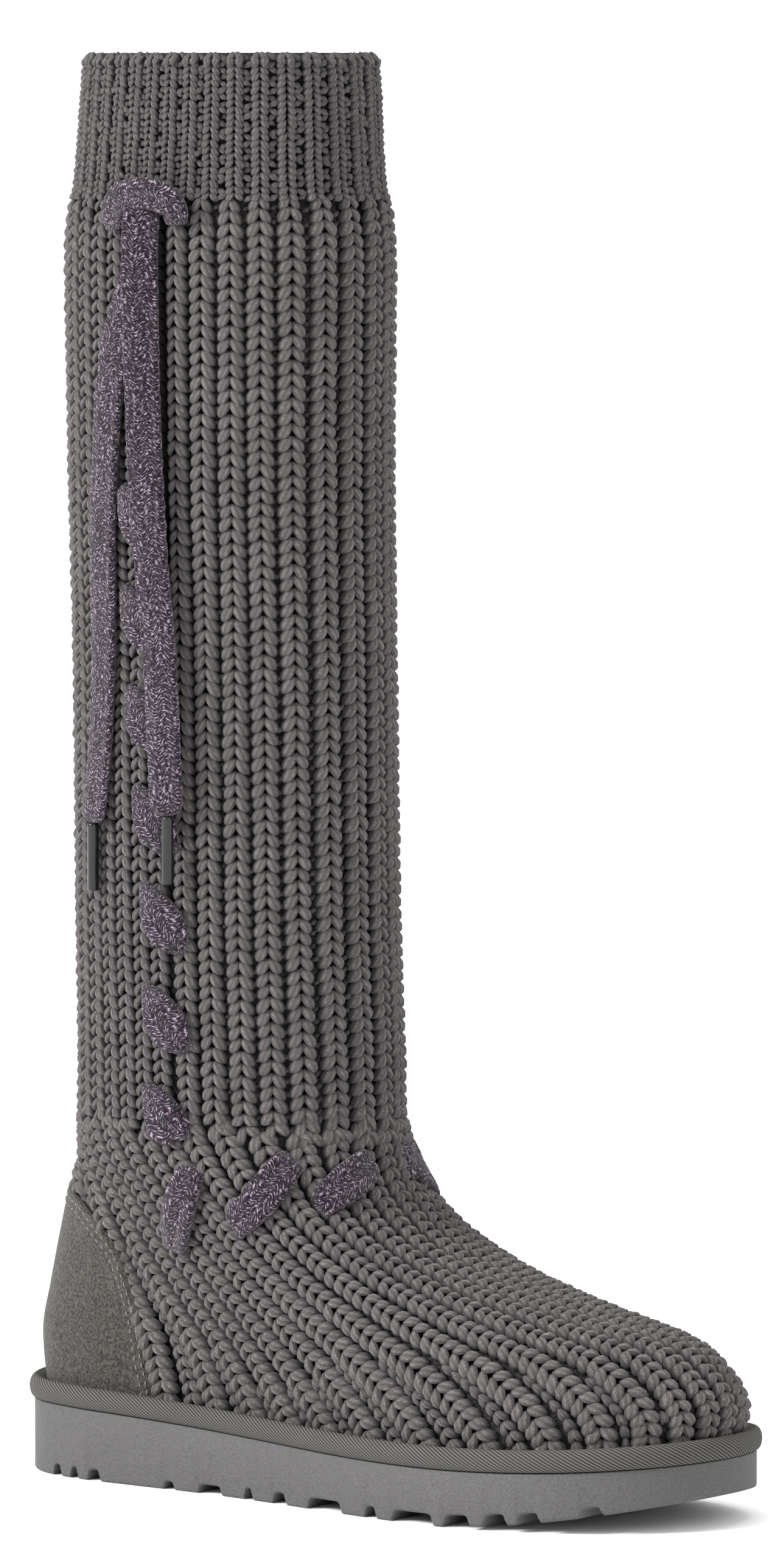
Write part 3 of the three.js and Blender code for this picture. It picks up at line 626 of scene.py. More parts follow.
def addAglet(name, tip):
    r, length, lip = agletLook["width"] / 2, agletLook["length"], agletLook["lip"]
    profile = [(r - 0.7, 0), (r - 0.25, 0.06), (r, lip), (r, length - 1.4), (r + 0.08, length - 1.1),
               (r + 0.08, length - lip), (r - 0.2, length), (r - 0.9, length - 0.1)]
    angle = 2 * math.pi * np.arange(agletLook["sides"]) / agletLook["sides"]
    rings = [np.stack([radius * np.cos(angle), radius * np.sin(angle), np.full(len(angle), height)], -1)
             for radius, height in profile]
    points = np.concatenate(rings) + tip - [0, 0, boot["clearance"] + length]
    sides, count = agletLook["sides"], len(profile)
    faces, caps = gridFaces(count, sides, True)[:, ::-1], endCaps(count, sides)[:, ::-1]
    return makePiece(name, points, [faces, caps], metal, [name])


# Sizes of the knot and the free ends as shares of the lace's, apart from the shoulder and tip in millimetres
knotLook = {"perSpan": 10, "narrow": 0.58, "swell": 0.27, "plump": 0.25, "rough": 0.016}
endLook = {"perSpan": 8, "untwist": 1.3, "shoulder": 5.0, "tip": 4.2, "flat": 0.95, "rough": 0.016}


def addKnot():
    centres, normals = laceRun(knotRoute, knotLook["perSpan"])
    share = np.linspace(0, 1, len(centres))
    widths = boot["laceWidth"] * (knotLook["narrow"] + knotLook["swell"] * np.sin(math.pi * share) ** 0.5)
    thickness = boot["laceThickness"] * (1 + knotLook["plump"] * np.sin(math.pi * share))
    points, faces, uvs = sweepBand(centres, normals, widths, thickness, knotLook["rough"])
    return makePiece("lace_knot", points, faces, lace, ["lace_knot"], uvs)


def addFreeEnd(name, route, agletName, turned, others=()):
    centres, normals = laceRun(route, endLook["perSpan"])
    turn = turned * (1 - ease(np.linspace(0, endLook["untwist"], len(centres))))
    spin = np.stack([np.cos(turn), np.sin(turn)], -1)
    normals = np.stack([normals[:, 0] * spin[:, 0] - normals[:, 1] * spin[:, 1],
                        normals[:, 0] * spin[:, 1] + normals[:, 1] * spin[:, 0], normals[:, 2]], -1)
    run = lengthsAlong(centres)
    length = float(run[-1])
    left = length - run
    shoulder = np.sqrt(clamp01(1 - clamp01(1 - left / endLook["shoulder"]) ** 2))
    waver = 1 + 0.02 * np.sin(left * 0.9) + 0.015 * np.sin(left * 2.3)
    widths = mix(endLook["tip"], boot["laceWidth"], shoulder) * waver
    thickness = np.full(len(centres), boot["laceThickness"] * endLook["flat"])
    points, faces, uvs = sweepBand(centres, normals, widths, thickness, endLook["rough"])
    piece = makePiece(name, points, faces, lace, [name], uvs)
    aglet = addAglet(agletName, centres[-1])


addFreeEnd("lace_end_front", frontEndRoute, "aglet_front", 0.5, [addKnot()])
addFreeEnd("lace_end_back", backEndRoute, "aglet_back", 0.1)
print("stage: free lace")

# Lace stitches: bands that come out of one gap between two wales and dive into another, pointed along the
# laced seam and blunt round the ankle
stitchLook = {"pitch": 32.2, "fall": 18.6, "count": 7, "halfTurn": 0.037, "firstRise": 0.007, "seat": 1.0,
              "arch": 1.4, "dive": 5.0, "steps": 34, "rough": 0.02, "innerFrontDrop": 1.6}
# Reach past both ends, how blunt, least width, where the middle lies, and greatest width, as shares
seamStitch = {"reach": 0.09, "taper": 0.7, "least": 0.1, "late": 1.3, "wide": 1.24}
ankleStitch = {"reach": 0.05, "taper": 0.45, "least": 0.55, "late": 1.08, "wide": 1.06}


def addStitch(name, start, end, reach, taper, least, late, wide, drop=0):
    share = np.linspace(-reach, 1 + reach, stitchLook["steps"])
    turn, station = (mix(start[i], end[i], share) for i in (0, 1))
    whole = (share + reach) / (1 + 2 * reach)
    arch = np.sin(math.pi * whole ** late)
    inside = clamp01((np.abs(whole - 0.5) - 0.40) / 0.10)
    lift = stitchLook["seat"] - drop + stitchLook["arch"] * arch - stitchLook["dive"] * inside ** 1.5
    centres = upperPoint(turn * math.pi, station, lift)
    normals = outward(turn * math.pi, station)
    widths = boot["laceWidth"] * wide * (least + (1 - least) * clamp01(arch) ** taper)
    thickness = boot["laceThickness"] * (0.8 + 0.4 * arch)
    points, faces, uvs = sweepBand(centres, normals, widths, thickness, stitchLook["rough"])
    makePiece(name, points, faces, lace, [name], uvs)


seamTurn = curveThrough(*zip(*lacedSeamRows))
climb = boot["seamHeight"] - boot["ankleHeight"]
for i in range(stitchLook["count"]):
    rise = stitchLook["firstRise"] + i * stitchLook["pitch"] / climb
    half = stitchLook["fall"] / 2 / climb
    turn = float(seamTurn(rise))
    addStitch(f"lace_side_{i + 1}", (turn + stitchLook["halfTurn"], stationOfShaft(rise + half)),
              (turn - stitchLook["halfTurn"], stationOfShaft(rise - half)), **seamStitch)
for place, start, end in ankleStitches:
    for side, word in ((1, "outer"), (-1, "inner")):
        drop = stitchLook["innerFrontDrop"] if (place, side) == ("front", -1) else 0
        addStitch(f"lace_ankle_{place}_{word}", (start[0] * side, start[1]), (end[0] * side, end[1]),
                  drop=drop, **ankleStitch)
print("stage: lace stitches")


# Knit. Every stitch is two plump leaves of yarn that meet at the top; a leaf is a bent tube in the wale's
# own sizes: across in millimetres from the wale's middle, along its length, and height over the crest.
def waleArcs():
    stations = np.concatenate([np.linspace(-1.02, 0, 700), np.linspace(0, 1, 900)[1:]])
    arcs = []
    for rib in range(boot["ribCount"]):
        line = crest(ribAngle(rib, stations), stations)
        arc = lengthsAlong(line)
        arcs.append(arc - np.interp(stationAt(boot["seamHeight"]), stations, arc))
    return stations, np.array(arcs)


waleStations, waleArc = waleArcs()


# The station at an arc length along any place between two wales
def stationAlong(rib, arc):
    low = np.floor(rib).astype(int)
    share = rib - low
    made = np.empty(np.shape(arc))
    for wale in np.unique(low):
        here = low == wale
        row = mix(waleArc[wale % len(waleArc)], waleArc[(wale + 1) % len(waleArc)], share[here][:, None])
        if len(np.unique(share[here])) == 1:
            made[here] = np.interp(arc[here], row[0], waleStations)
        else:
            made[here] = [np.interp(a, r, waleStations) for a, r in zip(arc[here], row)]
    return made


tuckLook = {"rib": 8.22, "reach": 0.3, "depth": 3.6, "from": 178, "fadeIn": 40, "to": 424, "fadeOut": 16}


# Along the laced seam the front panel tucks in behind the back one
def tuck(rib, station):
    height = mix(boot["ankleHeight"], bootHeight, -np.minimum(station, 0))
    grown = ease((height - tuckLook["from"]) / tuckLook["fadeIn"])
    gone = ease((height - tuckLook["to"] + tuckLook["fadeOut"]) / tuckLook["fadeOut"])
    near = np.exp(-((rib - tuckLook["rib"]) / tuckLook["reach"]) ** 2)
    return -tuckLook["depth"] * near * (grown * (1 - gone))


# Each wale's own directions at a place: the pitch square across it, how far a step to the next wale runs
# down it, and the change of station for a millimetre down it
def waleFrame(rib, arc):
    station, step = stationAlong(rib, arc), 0.1
    beside = [crest(ribAngle(rib + way * step, station), station) for way in (-1, 1)]
    aside = (beside[1] - beside[0]) / (2 * step)
    stations = [stationAlong(rib, arc + way) for way in (-1.0, 1.0)]
    ends = [crest(ribAngle(rib, at), at) for at in stations]
    ahead = unit(ends[1] - ends[0])
    skew = (aside * ahead).sum(-1)
    pitch = np.sqrt((aside ** 2).sum(-1) - skew ** 2)
    return station, pitch, skew, (stations[1] - stations[0]) / 2


# Section of a leaf: rounder on its outer side, with painted shade where the leaf above covers it, and none
# along the raised edge that lies over the leaf below
leafAngles = np.radians([0, 46, 93, 145, -145, -93, -46])
leafShadow = np.array([1, 0.5, 0.12, 0.05, 0.1, 0.4, 1])


# How leaves waver, in size as a share and in place in millimetres, and how they grow where there is room
leafWaver = {"size": 0.03, "across": 0.10, "along": 0.13, "height": 0.10, "growth": 0.7, "room": 0.35}


# Leaves of yarn at places on the wales, on one side of the wale or the other
def makeLeaves(rib, arc, side, shape, spacing=1.0, scale=1.0, sink=0.0):
    count, rings, sides = len(rib), len(shape["share"]) - 2, len(leafAngles)
    jitter = random.standard_normal((4, count, 1)) * shape["loose"]
    station, pitch, skew, slope = waleFrame(rib, arc)
    size = np.broadcast_to(scale, (count,))[:, None] * (1 + leafWaver["size"] * jitter[0])
    spare = pitch * spacing / shape["pitch"] - 1
    growth = np.where(spare > 0, leafWaver["growth"] * np.minimum(spare, leafWaver["room"]), spare)
    fit = size * (1 + growth)[:, None]
    across = shape["across"] * fit * side[:, None] + leafWaver["across"] * jitter[1]
    along = shape["along"] * (1 + leafWaver["size"] * jitter[0]) + leafWaver["along"] * jitter[2]
    height = shape["height"] + leafWaver["height"] * jitter[3] - np.broadcast_to(sink, (count,))[:, None]
    thick = shape["thick"] * (0.4 + 0.6 * fit)
    heading = np.stack([np.gradient(across, axis=1), np.gradient(along, axis=1)], -1)
    heading /= np.linalg.norm(heading, axis=-1, keepdims=True) + 1e-9
    thick = thick[:, 1:-1, None]
    wide = thick * np.sin(leafAngles)
    deep = thick * shape["deep"] * np.cos(leafAngles) - shape["tilt"] * wide * side[:, None, None]
    grids = ((across[:, 1:-1, None] + heading[:, 1:-1, None, 1] * wide, across),
             (along[:, 1:-1, None] - heading[:, 1:-1, None, 0] * wide, along),
             (height[:, 1:-1, None] + deep, height))
    across, along, height = (
        np.concatenate([grid.reshape(count, -1), tips[:, [0, -1]]], 1) for grid, tips in grids)
    each = across.shape[1]
    aside = across / pitch[:, None]
    ribs = rib[:, None] + aside
    stations = np.minimum(station[:, None] + slope[:, None] * (along - skew[:, None] * aside), 1.0)
    height = height + tuck(ribs, stations)
    points = upperPoint(ribAngle(ribs, stations), stations, height).reshape(-1, 3)
    start = (np.arange(count) * each)[:, None, None]
    j = np.arange(sides)
    k = (j + 1) % sides
    first, last = np.full(sides, rings * sides), np.full(sides, rings * sides + 1)
    end = (rings - 1) * sides
    quads = gridFaces(rings, sides, True)[None] + start
    fans = np.concatenate([np.stack([first, j, k], -1), np.stack([end + k, end + j, last], -1)])[None] + start
    share = shape["share"]
    turns = np.arange(sides + 1) / sides
    here, between, there = turns[:-1], turns[:-1] + 0.5 / sides, turns[1:]
    topUv = cornerUvs([(share[0], between), (share[1], here), (share[1], there)])
    endUv = cornerUvs([(share[-2], there), (share[-2], here), (share[-1], between)])
    quadUv = np.repeat(gridUvs(share[1:-1], turns, rings, sides)[None], count, 0)
    fanUv = np.repeat(np.concatenate([topUv, endUv])[None], count, 0)
    flip = side < 0
    quads[flip], fans[flip] = quads[flip][..., ::-1], fans[flip][..., ::-1]
    quadUv[flip], fanUv[flip] = quadUv[flip][:, :, ::-1], fanUv[flip][:, :, ::-1]
    quadUv[flip, ..., 1] *= -1
    fanUv[flip, ..., 1] *= -1
    rightShadow = np.concatenate([np.tile(leafShadow, rings), [0.2, 0.5]])
    leftShadow = np.concatenate([np.tile(np.roll(leafShadow[::-1], 1), rings), [0.2, 0.5]])
    shadow = mix(1, np.where(side[:, None] > 0, rightShadow, leftShadow), shape["shadow"])
    # The depth value is painted shade: lower under the crest and on the flanks of each leaf that the next one
    # covers
    values = {"tint": np.repeat(random.random(count), each),
              "depth": (clamp01(height / 3.7 + 1.0) * shadow).ravel()}
    faces = [quads.reshape(-1, 4), fans.reshape(-1, 3)]
    uvs = [quadUv.reshape(-1, 4, 2), fanUv.reshape(-1, 3, 2)]
    return points, faces, uvs, values


# One piece of knit from several lots of leaves
def addLeaves(name, lots):
    points, faces, uvs, values = zip(*lots)
    starts = np.cumsum([0] + [len(part) for part in points])
    faces = [np.concatenate([part[i] + start for start, part in zip(starts, faces)]) for i in (0, 1)]
    uvs = [np.concatenate([part[i] for part in uvs]) for i in (0, 1)]
    values = {key: np.concatenate([part[key] for part in values]) for key in values[0]}
    makePiece(name, np.concatenate(points), faces, knit, (), uvs, values)


# A leaf from its inner top to its outer bottom: its middle line bends outwards, its height arches, and it is
# thickest past the middle, with its lower edge raised over the next leaf
def leafShape(pitch, across, length, height, radius, rows=7, bow=0.3, tilt=0.35, slim=0.85, widest=0.58,
              loose=1.0, shadow=1.0):
    share = np.concatenate([[0], (1 - np.cos(math.pi * np.linspace(0.16, 0.87, rows - 2))) / 2, [1]])
    arch = np.sin(math.pi * share ** 1.15)
    bend = mix(share, np.sin(math.pi / 2 * share), bow)
    growing = mix(slim, 1, ease(share / widest)) * np.sqrt(1 - (1 - clamp01(share / 0.3)) ** 2)
    closing = np.sqrt(1 - clamp01((share - widest) / (1 - widest)) ** 2)
    return {
        "pitch": pitch, "share": share, "deep": 0.86, "tilt": tilt, "along": length * (share - 0.5),
        "across": mix(across[0], across[1], bend),
        "height": mix(height[0], height[2], share) + (height[1] - (height[0] + height[2]) / 2) * arch,
        "thick": radius * growing * closing, "loose": loose, "shadow": shadow,
    }


shaftPitch, cuffPitch = 4.07, 2.13
frontLeaf = leafShape(9.4, (0.02, 3.95), 5.45, (-2.0, -0.9, -2.9), 1.84, rows=8)
footLeaf = leafShape(9.4, (0.02, 3.95), 5.5, (-1.9, -0.9, -3.1), 1.95, shadow=0.75)
backLeaf = leafShape(9.4, (0.1, 4.1), 5.1, (-2.0, -1.0, -2.1), 1.72)
cuffLeaf = leafShape(8.2, (0.2, 2.65), 3.1, (-1.1, -0.35, -1.5), 1.14, shadow=0.8)
edgeLeaf = leafShape(8.2, (1.9, 1.5), 4.2, (-2.6, -0.1, -0.6), 1.5, bow=0.5, tilt=0, slim=0.95, widest=0.5)
purl = {"rows": 5, "bow": 0, "tilt": 0, "slim": 1, "widest": 0.5, "loose": 3.2}
purlLeaf = leafShape(9.4, (-1.8, 1.8), 1.5, (-3.5, -2.7, -3.5), 0.85, **purl)
cuffPurl = leafShape(8.2, (-1.9, 1.9), 2.0, (-2.15, -1.3, -2.15), 1.08, **purl)
counterHalf = curveThrough(*zip(*counterRows))


# How far inside the heel counter's edge a place on the foot lies, in millimetres
def underCounter(rib, station):
    aside = np.abs(np.abs(ribAngle(rib, station)) / math.pi - 1)
    reach = (counterHalf(station) - aside) * math.pi * boot["shaftLength"] / 2
    return np.where(station > counterRows[0][0], np.minimum(reach, (station - counterRows[0][0]) * 110), -9)


# How far each wale's stitches are shifted, as shares of a course, at the wales and half-way between them
drift = random.uniform(-0.3, 0.3, 2 * boot["ribCount"])


# The wales, as places in ribs from the front: wider apart over the instep, where others begin between them
# further down
frontWales = np.array([-4.2, -3.2, -2.25, -1.28, -0.3, 0.75, 1.85, 3.0, 4.1, 5.2, 6.35, 7.5])
innerWales = np.arange(-14.0, -4.5)
backWales = np.array([8.75, 9.7, 10.7, 11.7, 12.75, 13.85, 15, 16.1, 17.2, 18.3, 19.4, 20.5, 21.4])
footSide = [1, 2.1, 3.35, 4.75, 6.2, 7.6, 8.85, 10, 11.1, 12.15, 13.15, 14.1, 15.05, 16, 17]
footWales = np.array([-rib for rib in footSide[::-1]] + [0] + footSide + [18])


# Stitches slip under the counter at its edge, and low down they lap over it, in millimetres
counterLap = {"hidden": 4, "under": 1.5, "steep": 0.35, "over": 1.1, "beside": 1.2, "wide": 2, "from": 0.5}


# The courses below the seam: rib and arc length of each stitch's middle, and how far it is sunk
def coursesOf(ribs, fromStation=-1, toStation=1):
    places = []
    for rib in ribs:
        low, high = int(math.floor(rib)) % boot["ribCount"], int(math.ceil(rib)) % boot["ribCount"]
        end = mix(waleArc[low][-1], waleArc[high][-1], rib % 1)
        count = int((end - 0.6) // shaftPitch)
        shiftBy = drift[int(2 * rib) % len(drift)]
        arcs = (np.arange(count) + 0.5 + shiftBy) * end / (count + 0.12)
        places.append(np.stack([np.full(count, float(rib)), arcs], -1))
    places = np.concatenate(places)
    station = stationAlong(places[:, 0], places[:, 1])
    inside = underCounter(places[:, 0], station)
    kept = (station >= fromStation) & (station < toStation) & (inside < counterLap["hidden"])
    inside, low = inside[kept], ease((station[kept] - counterLap["from"]) / 0.2)
    under = np.maximum(inside + counterLap["under"], 0) * counterLap["steep"]
    over = counterLap["over"] * low * np.exp(-((inside + counterLap["beside"]) / counterLap["wide"]) ** 2)
    return places[kept], under - over


# Just under the cuff the wales are still narrow
underCuff = {"narrow": 0.72, "fade": 11}


def spread(arc):
    return mix(underCuff["narrow"], 1.0, ease(arc / underCuff["fade"]))


# On the foot a narrower wale begins between two others where they leave room for it, in millimetres
extraWale = {"others": 10.9, "least": 1.2, "pitch": 9.4, "narrowest": 0.35, "sunk": 0.5}


def addKnitPanel(name, wales, shape, fromStation, toStation):
    gaps = np.gradient(wales)
    places, sink = coursesOf(wales, fromStation, toStation)
    spacing, size = np.interp(places[:, 0], wales, gaps), spread(places[:, 1])
    if toStation == 1:
        between, betweenSink = coursesOf((wales[:-1] + wales[1:]) / 2, fromStation, toStation)
        room = waleFrame(*between.T)[1] * np.interp(between[:, 0], wales, gaps) - extraWale["others"]
        kept = room > extraWale["least"]
        places = np.concatenate([places, between[kept]])
        sink = np.concatenate([sink, betweenSink[kept] + extraWale["sunk"]])
        size = np.concatenate([size, np.full(kept.sum(), 1.0)])
        share = np.clip(room[kept] / extraWale["pitch"], extraWale["narrowest"], 1)
        spacing = np.concatenate([spacing, share * extraWale["pitch"] / (room[kept] + extraWale["others"])])
    sides = [np.full(len(places), side) for side in (1.0, -1.0)]
    addLeaves(name, [makeLeaves(*places.T, side, shape, spacing, size, sink) for side in sides])


def addPurls(name, wales, shape):
    places, sink = coursesOf((wales[:-1] + wales[1:]) / 2, -1, 0.02)
    rib, arc = places.T
    addLeaves(name, [makeLeaves(rib, arc + shaftPitch * 0.25, np.ones(len(rib)), shape, sink=sink)])


def addCuff():
    ribs = np.arange(boot["ribCount"]).astype(float)
    count = int(boot["cuffHeight"] / cuffPitch)
    arcs = -(np.arange(count) + 0.45) * boot["cuffHeight"] / count
    rib, arc = (grid.ravel() for grid in np.meshgrid(ribs, arcs, indexing="ij"))
    top = np.full(len(ribs), 2.1 - boot["cuffHeight"])
    rows = [(rib, arc, cuffLeaf), (ribs, top, edgeLeaf)]
    addLeaves("knit_cuff", [makeLeaves(place, down, np.full(len(place), side), leaf)
                            for place, down, leaf in rows for side in (1.0, -1.0)])
    zigzag = np.where(np.arange(len(rib)) % 2 == 0, 1.0, -1.0)
    addLeaves("knit_cuff_purls", [makeLeaves(rib + 0.5, arc, zigzag, cuffPurl)])


# The knitted wall behind the stitches, nearly black as painted shade in the gaps between the leaves
wallLook = {"columns": 144, "shaftRings": 40, "footRings": 36, "outer": 3.3, "ridge": 0.5}


def addWall():
    columns = wallLook["columns"]
    rib = np.arange(columns) * boot["ribCount"] / columns
    down = np.append(np.linspace(-1, 0, wallLook["shaftRings"]), np.linspace(0, 1, wallLook["footRings"])[1:])
    outer = wallLook["outer"] + wallLook["ridge"] * np.cos(2 * math.pi * rib) ** 2
    inner = np.full(columns, float(boot["wall"]))
    rings = []
    for station, depth in [(at, outer) for at in down] + [(at, inner) for at in down[::-1]]:
        lift = tuck(rib, station) - depth
        rings.append(upperPoint(ribAngle(rib, station), np.full(columns, station), lift))
    faces = gridFaces(len(rings) + 1, columns, True) % (len(rings) * columns)
    makePiece("knit_wall", np.concatenate(rings), [faces[:, ::-1]], underKnitShade, ["upper_knit"])


addWall()
addKnitPanel("knit_shaft_front", frontWales, frontLeaf, -1, 0.05)
addKnitPanel("knit_shaft_inner", innerWales, frontLeaf, -1, 0.05)
addKnitPanel("knit_shaft_back", backWales, backLeaf, -1, 0.05)
addKnitPanel("knit_foot_front", footWales[(footWales > -9) & (footWales < 9)], footLeaf, 0.02, 1)
addKnitPanel("knit_foot_outer", footWales[footWales > 8], footLeaf, 0.02, 1)
addKnitPanel("knit_foot_inner", footWales[footWales < -8], footLeaf, 0.02, 1)
addPurls("knit_purls", np.concatenate([innerWales, frontWales]), purlLeaf)
addCuff()
print("stage: knit")


# Heel counter: a smooth patch of suede between two depths, with a rolled edge and two rows of stitching
counterLook = {"proud": 0.6, "thickness": 1.8, "rows": 46, "columns": 64, "edge": 1.1, "roll": 1.6,
               "halfWidth": 40, "height": 70, "seams": (2.0, 4.6), "dash": 1.9, "gap": 1.1, "dashSteps": 6,
               "threadRadius": 0.28, "threadSides": 6, "threadEnd": 0.35, "hump": 0.34, "sunk": 0.12}


def counterPlace(across, down):
    station = mix(counterRows[0][0], 1.0, down)
    return math.pi + counterHalf(station) * math.pi * across, station


def addCounter():
    rows, columns = counterLook["rows"], counterLook["columns"]
    across = np.sin(np.linspace(-1, 1, columns) * math.pi / 2)
    down = np.linspace(0, 1, rows) ** 1.3
    grids = []
    for outer in (True, False):
        a, d = np.meshgrid(across, down)
        angle, station = counterPlace(a, d)
        edge = np.minimum((1 - np.abs(a)) * counterLook["halfWidth"], d * counterLook["height"])
        lift = counterLook["proud"] - counterLook["edge"] * (1 - clamp01(edge / counterLook["roll"])) ** 2
        depth = lift if outer else np.full(a.shape, -counterLook["thickness"])
        grids.append(upperPoint(angle, station, depth))
    points = np.concatenate([grid.reshape(-1, 3) for grid in grids])
    top = gridFaces(rows, columns, False)[:, ::-1]
    bottom = gridFaces(rows, columns, False, rows * columns)
    border = np.concatenate([np.arange(columns), columns * np.arange(1, rows) + columns - 1,
                             (rows - 1) * columns + np.arange(columns - 1)[::-1],
                             columns * np.arange(1, rows - 1)[::-1]])
    after = np.roll(border, -1)
    rim = np.stack([border, after, after + rows * columns, border + rows * columns], -1)
    makePiece("heel_counter", points, [np.concatenate([top, bottom, rim])], suede, ["heel_counter"])


# The counter's edge as a line from the sole on one side over the top to the other, inset by a distance
def counterEdge(inset):
    share = np.linspace(0, 1, 400)
    down = np.concatenate([1 - share, share[1:]])
    side = np.concatenate([np.ones(400), -np.ones(399)])
    angle, station = counterPlace(side, down)
    line = upperPoint(angle, station)
    ahead = unit(np.gradient(line, axis=0) + 1e-9)
    normal = outward(angle, station)
    inward = unit(np.cross(normal, ahead))
    return line - inward * inset + normal * counterLook["proud"], normal


def addCounterStitches():
    parts = []
    for inset in counterLook["seams"]:
        line, normal = counterEdge(inset)
        arc = lengthsAlong(line)
        step = counterLook["dash"] + counterLook["gap"]
        for begin in np.arange(1.0, arc[-1] - step, step):
            at = np.linspace(begin, begin + counterLook["dash"], counterLook["dashSteps"])
            spots = np.stack([np.interp(at, arc, line[:, axis]) for axis in range(3)], -1)
            ups = np.stack([np.interp(at, arc, normal[:, axis]) for axis in range(3)], -1)
            parts.append((spots, unit(ups)))
    points, faces, caps, uvs = [], [], [], []
    sides = counterLook["threadSides"]
    angle = 2 * math.pi * np.arange(sides) / sides
    for spots, ups in parts:
        share = np.linspace(0, 1, len(spots))
        across = unit(np.cross(np.gradient(spots, axis=0), ups))
        arch = np.sin(math.pi * share)
        radius = counterLook["threadRadius"] * mix(counterLook["threadEnd"], 1, arch ** 0.5)
        middle = spots + ups * (counterLook["hump"] * arch - counterLook["sunk"])[:, None]
        ring = (middle[:, None] + across[:, None] * (np.cos(angle) * radius[:, None])[..., None]
                + ups[:, None] * (np.sin(angle) * radius[:, None])[..., None])
        start = len(points) * len(spots) * sides
        points.append(ring.reshape(-1, 3))
        faces.append(gridFaces(len(spots), sides, True, start))
        uvs.append(gridUvs(share, np.arange(sides + 1) / sides, len(spots), sides))
        caps.append(endCaps(len(spots), sides, start))
    capUvs = np.zeros((2 * len(caps), sides, 2))
    faces, uvs = [np.concatenate(faces), np.concatenate(caps)], [np.concatenate(uvs), capUvs]
    makePiece("counter_stitching", np.concatenate(points), faces, thread, (), uvs)


addCounter()
addCounterStitches()
print("stage: heel counter")


# The station of the foot that lies a given rise over the sole's top
def stationOfRise(angle, rise):
    low, high = np.full(np.shape(angle), 0.8), np.ones(np.shape(angle))
    for _ in range(30):
        middle = (low + high) / 2
        point = footPoint(angle, middle)
        above = point[..., 2] - soleTop(point[..., 0]) > rise
        low, high = np.where(above, middle, low), np.where(above, high, middle)
    return (low + high) / 2


# Binding: its section rolls from its lower edge out and over the top, in degrees, then goes down inside
bindingLook = {"steps": 420, "turns": 15, "from": -82, "to": 118, "foot": 0.15, "tucked": 2.6, "behind": 1.4}


def addBinding():
    steps = bindingLook["steps"]
    angle = 2 * math.pi * np.arange(steps) / steps
    edge, normal = soleEdge(angle)
    lean = np.radians(np.linspace(bindingLook["from"], bindingLook["to"], bindingLook["turns"]))
    foot, proud = bindingLook["foot"], boot["bindingProud"]
    over = mix(-bindingLook["tucked"], proud, np.cos(lean) * 0.5 + 0.5)
    out = np.where(lean > 0, over, mix(foot, proud, np.cos(lean)))
    rise = boot["bindingHeight"] * (0.5 + 0.5 * np.sin(lean))
    rings = []
    for o, r in zip(out, rise):
        height = soleTop(edge[:, 0]) + boot["clearance"] + r
        rings.append(np.concatenate([edge + normal * o, height[:, None]], -1))
    for share in (0.8, 0.4, 0.0):
        r = boot["clearance"] + share * boot["bindingHeight"]
        inside = normal * (boot["clearance"] - bindingLook["behind"])
        point = crest(angle, stationOfRise(angle, r))[:, :2] + inside
        rings.append(np.concatenate([point, (soleTop(point[:, 0]) + r)[:, None]], -1))
    grid = np.array(rings)
    count = len(rings)
    closed = np.concatenate([grid, grid[:1]])
    arc = lengthsAlong(grid[0])
    arc = np.append(arc, arc[-1] + 2)
    up = np.concatenate([[0], np.cumsum(np.linalg.norm(np.diff(closed, axis=0), axis=-1).mean(1))])
    faces = gridFaces(count + 1, steps, True) % (count * steps)
    uvs = gridUvs(up, arc, count + 1, steps)[..., ::-1]
    makePiece("binding", grid.reshape(-1, 3), [faces], tape, ["binding"], [uvs])


# Outsole: cross-sections from heel to toe with rounded edges, stepping up into each groove
outsoleLook = {"sections": 110, "fillet": 1.1, "topFillet": 0.5, "slope": 0.22, "corner": 0.6}


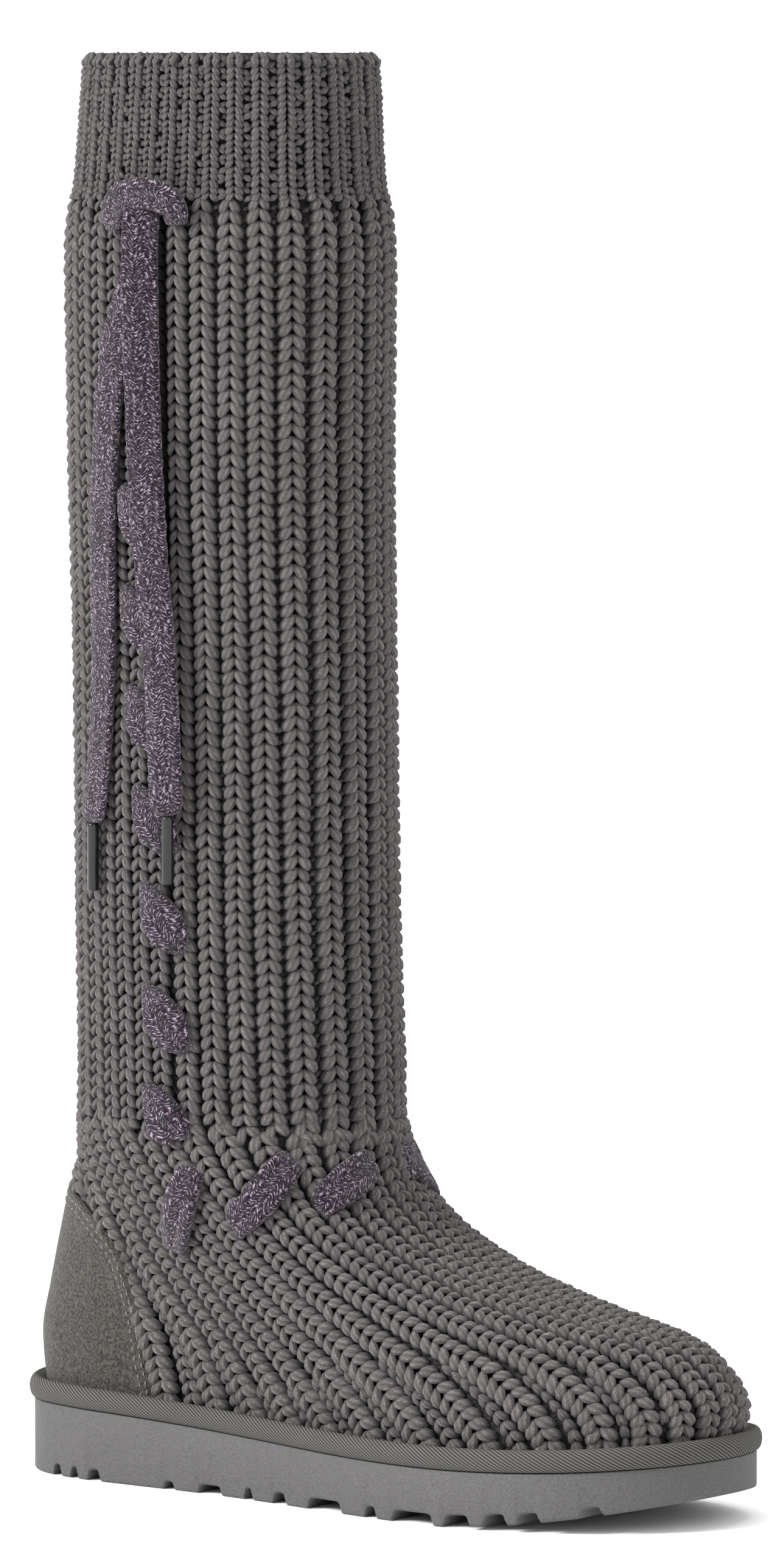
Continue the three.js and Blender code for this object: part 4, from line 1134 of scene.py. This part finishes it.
def addOutsole():
    length = boot["soleLength"]
    xs = outline[:, 0]
    tip, heel = int(np.argmax(xs)), int(np.argmin(xs))
    outer, inner = outline[:heel + 1], np.concatenate([outline[heel:], outline[1:tip + 1]])
    shares = 0.5 - 0.5 * np.cos(np.linspace(0, math.pi, outsoleLook["sections"]))
    places = list(mix(xs.min() + 0.02, xs.max() - 0.02, shares))
    cuts = []
    for start, end, depth in grooveRows:
        start, end, lift = start * length, end * length, depth * boot["lugDepth"]
        slope = min(outsoleLook["slope"] * lift, (end - start) * 0.2)
        corner = min(outsoleLook["corner"] * lift, (end - start) * 0.3)
        places = [x for x in places if not start - 0.3 < x < end + 0.3]
        bend = [(0, 0), (0.134, 0.5), (0.5, 0.866), (1, 1)]
        arch = [(slope + corner * a, lift - corner + corner * b) for a, b in bend]
        cuts += [(start, 0)] + [(start + a, b) for a, b in arch]
        cuts += [(end - a, b) for a, b in arch[::-1]] + [(end, 0)]
    marks = sorted([(x, 0.0) for x in places] + cuts)
    x, lift = np.array(marks).T
    left = np.interp(x, outer[::-1, 0], outer[::-1, 1])
    right = np.interp(x, inner[:, 0], inner[:, 1])
    bottom, top = soleUnder(x) + lift, soleTop(x)
    f, t = outsoleLook["fillet"], outsoleLook["topFillet"]
    turns = np.radians([0, 30, 60, 90])
    rim = [(t * (1 - np.sin(a)), top - t * (1 - np.cos(a))) for a in turns]
    rim += [(f * (1 - np.cos(a)), bottom + f * (1 - np.sin(a))) for a in turns]
    rows = [(left + inset, z) for inset, z in rim]
    rows += [(mix(left + f, right - f, share), bottom) for share in (0.25, 0.5, 0.75)]
    rows += [(right - inset, z) for inset, z in rim[::-1]]
    width = np.maximum(right - left, 0.05)
    middle, squeeze = (left + right) / 2, np.minimum(1, width / (2 * f + 0.4))
    grid = np.stack([np.stack([x, middle + (y - middle) * squeeze, z], -1) for y, z in rows], 1)
    count, sides = grid.shape[:2]
    faces = [gridFaces(count, sides, True), endCaps(count, sides)]
    piece = makePiece("outsole", grid.reshape(-1, 3), faces, foam, ["outsole"])
    piece.data.set_sharp_from_angle(angle=math.radians(38))


addBinding()
addOutsole()
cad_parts["insole"].data.materials.clear()
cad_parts["insole"].data.materials.append(footbed.material)
print("stage: sole")

# Studio: a pale floor and soft lights
studio = {"floor": 300.0, "world": 1.04, "aim": (0, 0, 0.22), "lights": [
    ("key", (-1.7, -3.0, 2.2), 1.4, 240), ("fill", (3.0, -1.4, 1.8), 2.4, 30),
    ("top", (0.1, 0.3, 3.2), 2.0, 30)]}


def addStudio():
    world = bpy.data.worlds.new("studio")
    world.use_nodes = True
    world.node_tree.nodes["Background"].inputs[0].default_value = (1, 1, 1, 1)
    world.node_tree.nodes["Background"].inputs[1].default_value = studio["world"]
    scene.world = world
    half = studio["floor"] / 2
    corners = [(-half, -half, 0), (half, -half, 0), (half, half, 0), (-half, half, 0)]
    mesh = bpy.data.meshes.new("floor")
    mesh.from_pydata(corners, [], [(0, 1, 2, 3)])
    floor = bpy.data.objects.new("floor", mesh)
    scene.collection.objects.link(floor)
    pale = Finish("floor", {"Base Color": (0.98, 0.98, 0.98, 1), "Roughness": 0.8, "Specular IOR Level": 0.1})
    mesh.materials.append(pale.material)
    aim = Vector(studio["aim"])
    for name, spot, size, power in studio["lights"]:
        data = bpy.data.lights.new(name, "AREA")
        data.shape, data.size, data.energy = "DISK", size, power
        light = bpy.data.objects.new(name, data)
        light.location = spot
        light.rotation_euler = (aim - Vector(spot)).to_track_quat("-Z", "Y").to_euler()
        scene.collection.objects.link(light)
    scene.view_settings.view_transform = "Standard"


addStudio()
print("stage: studio")
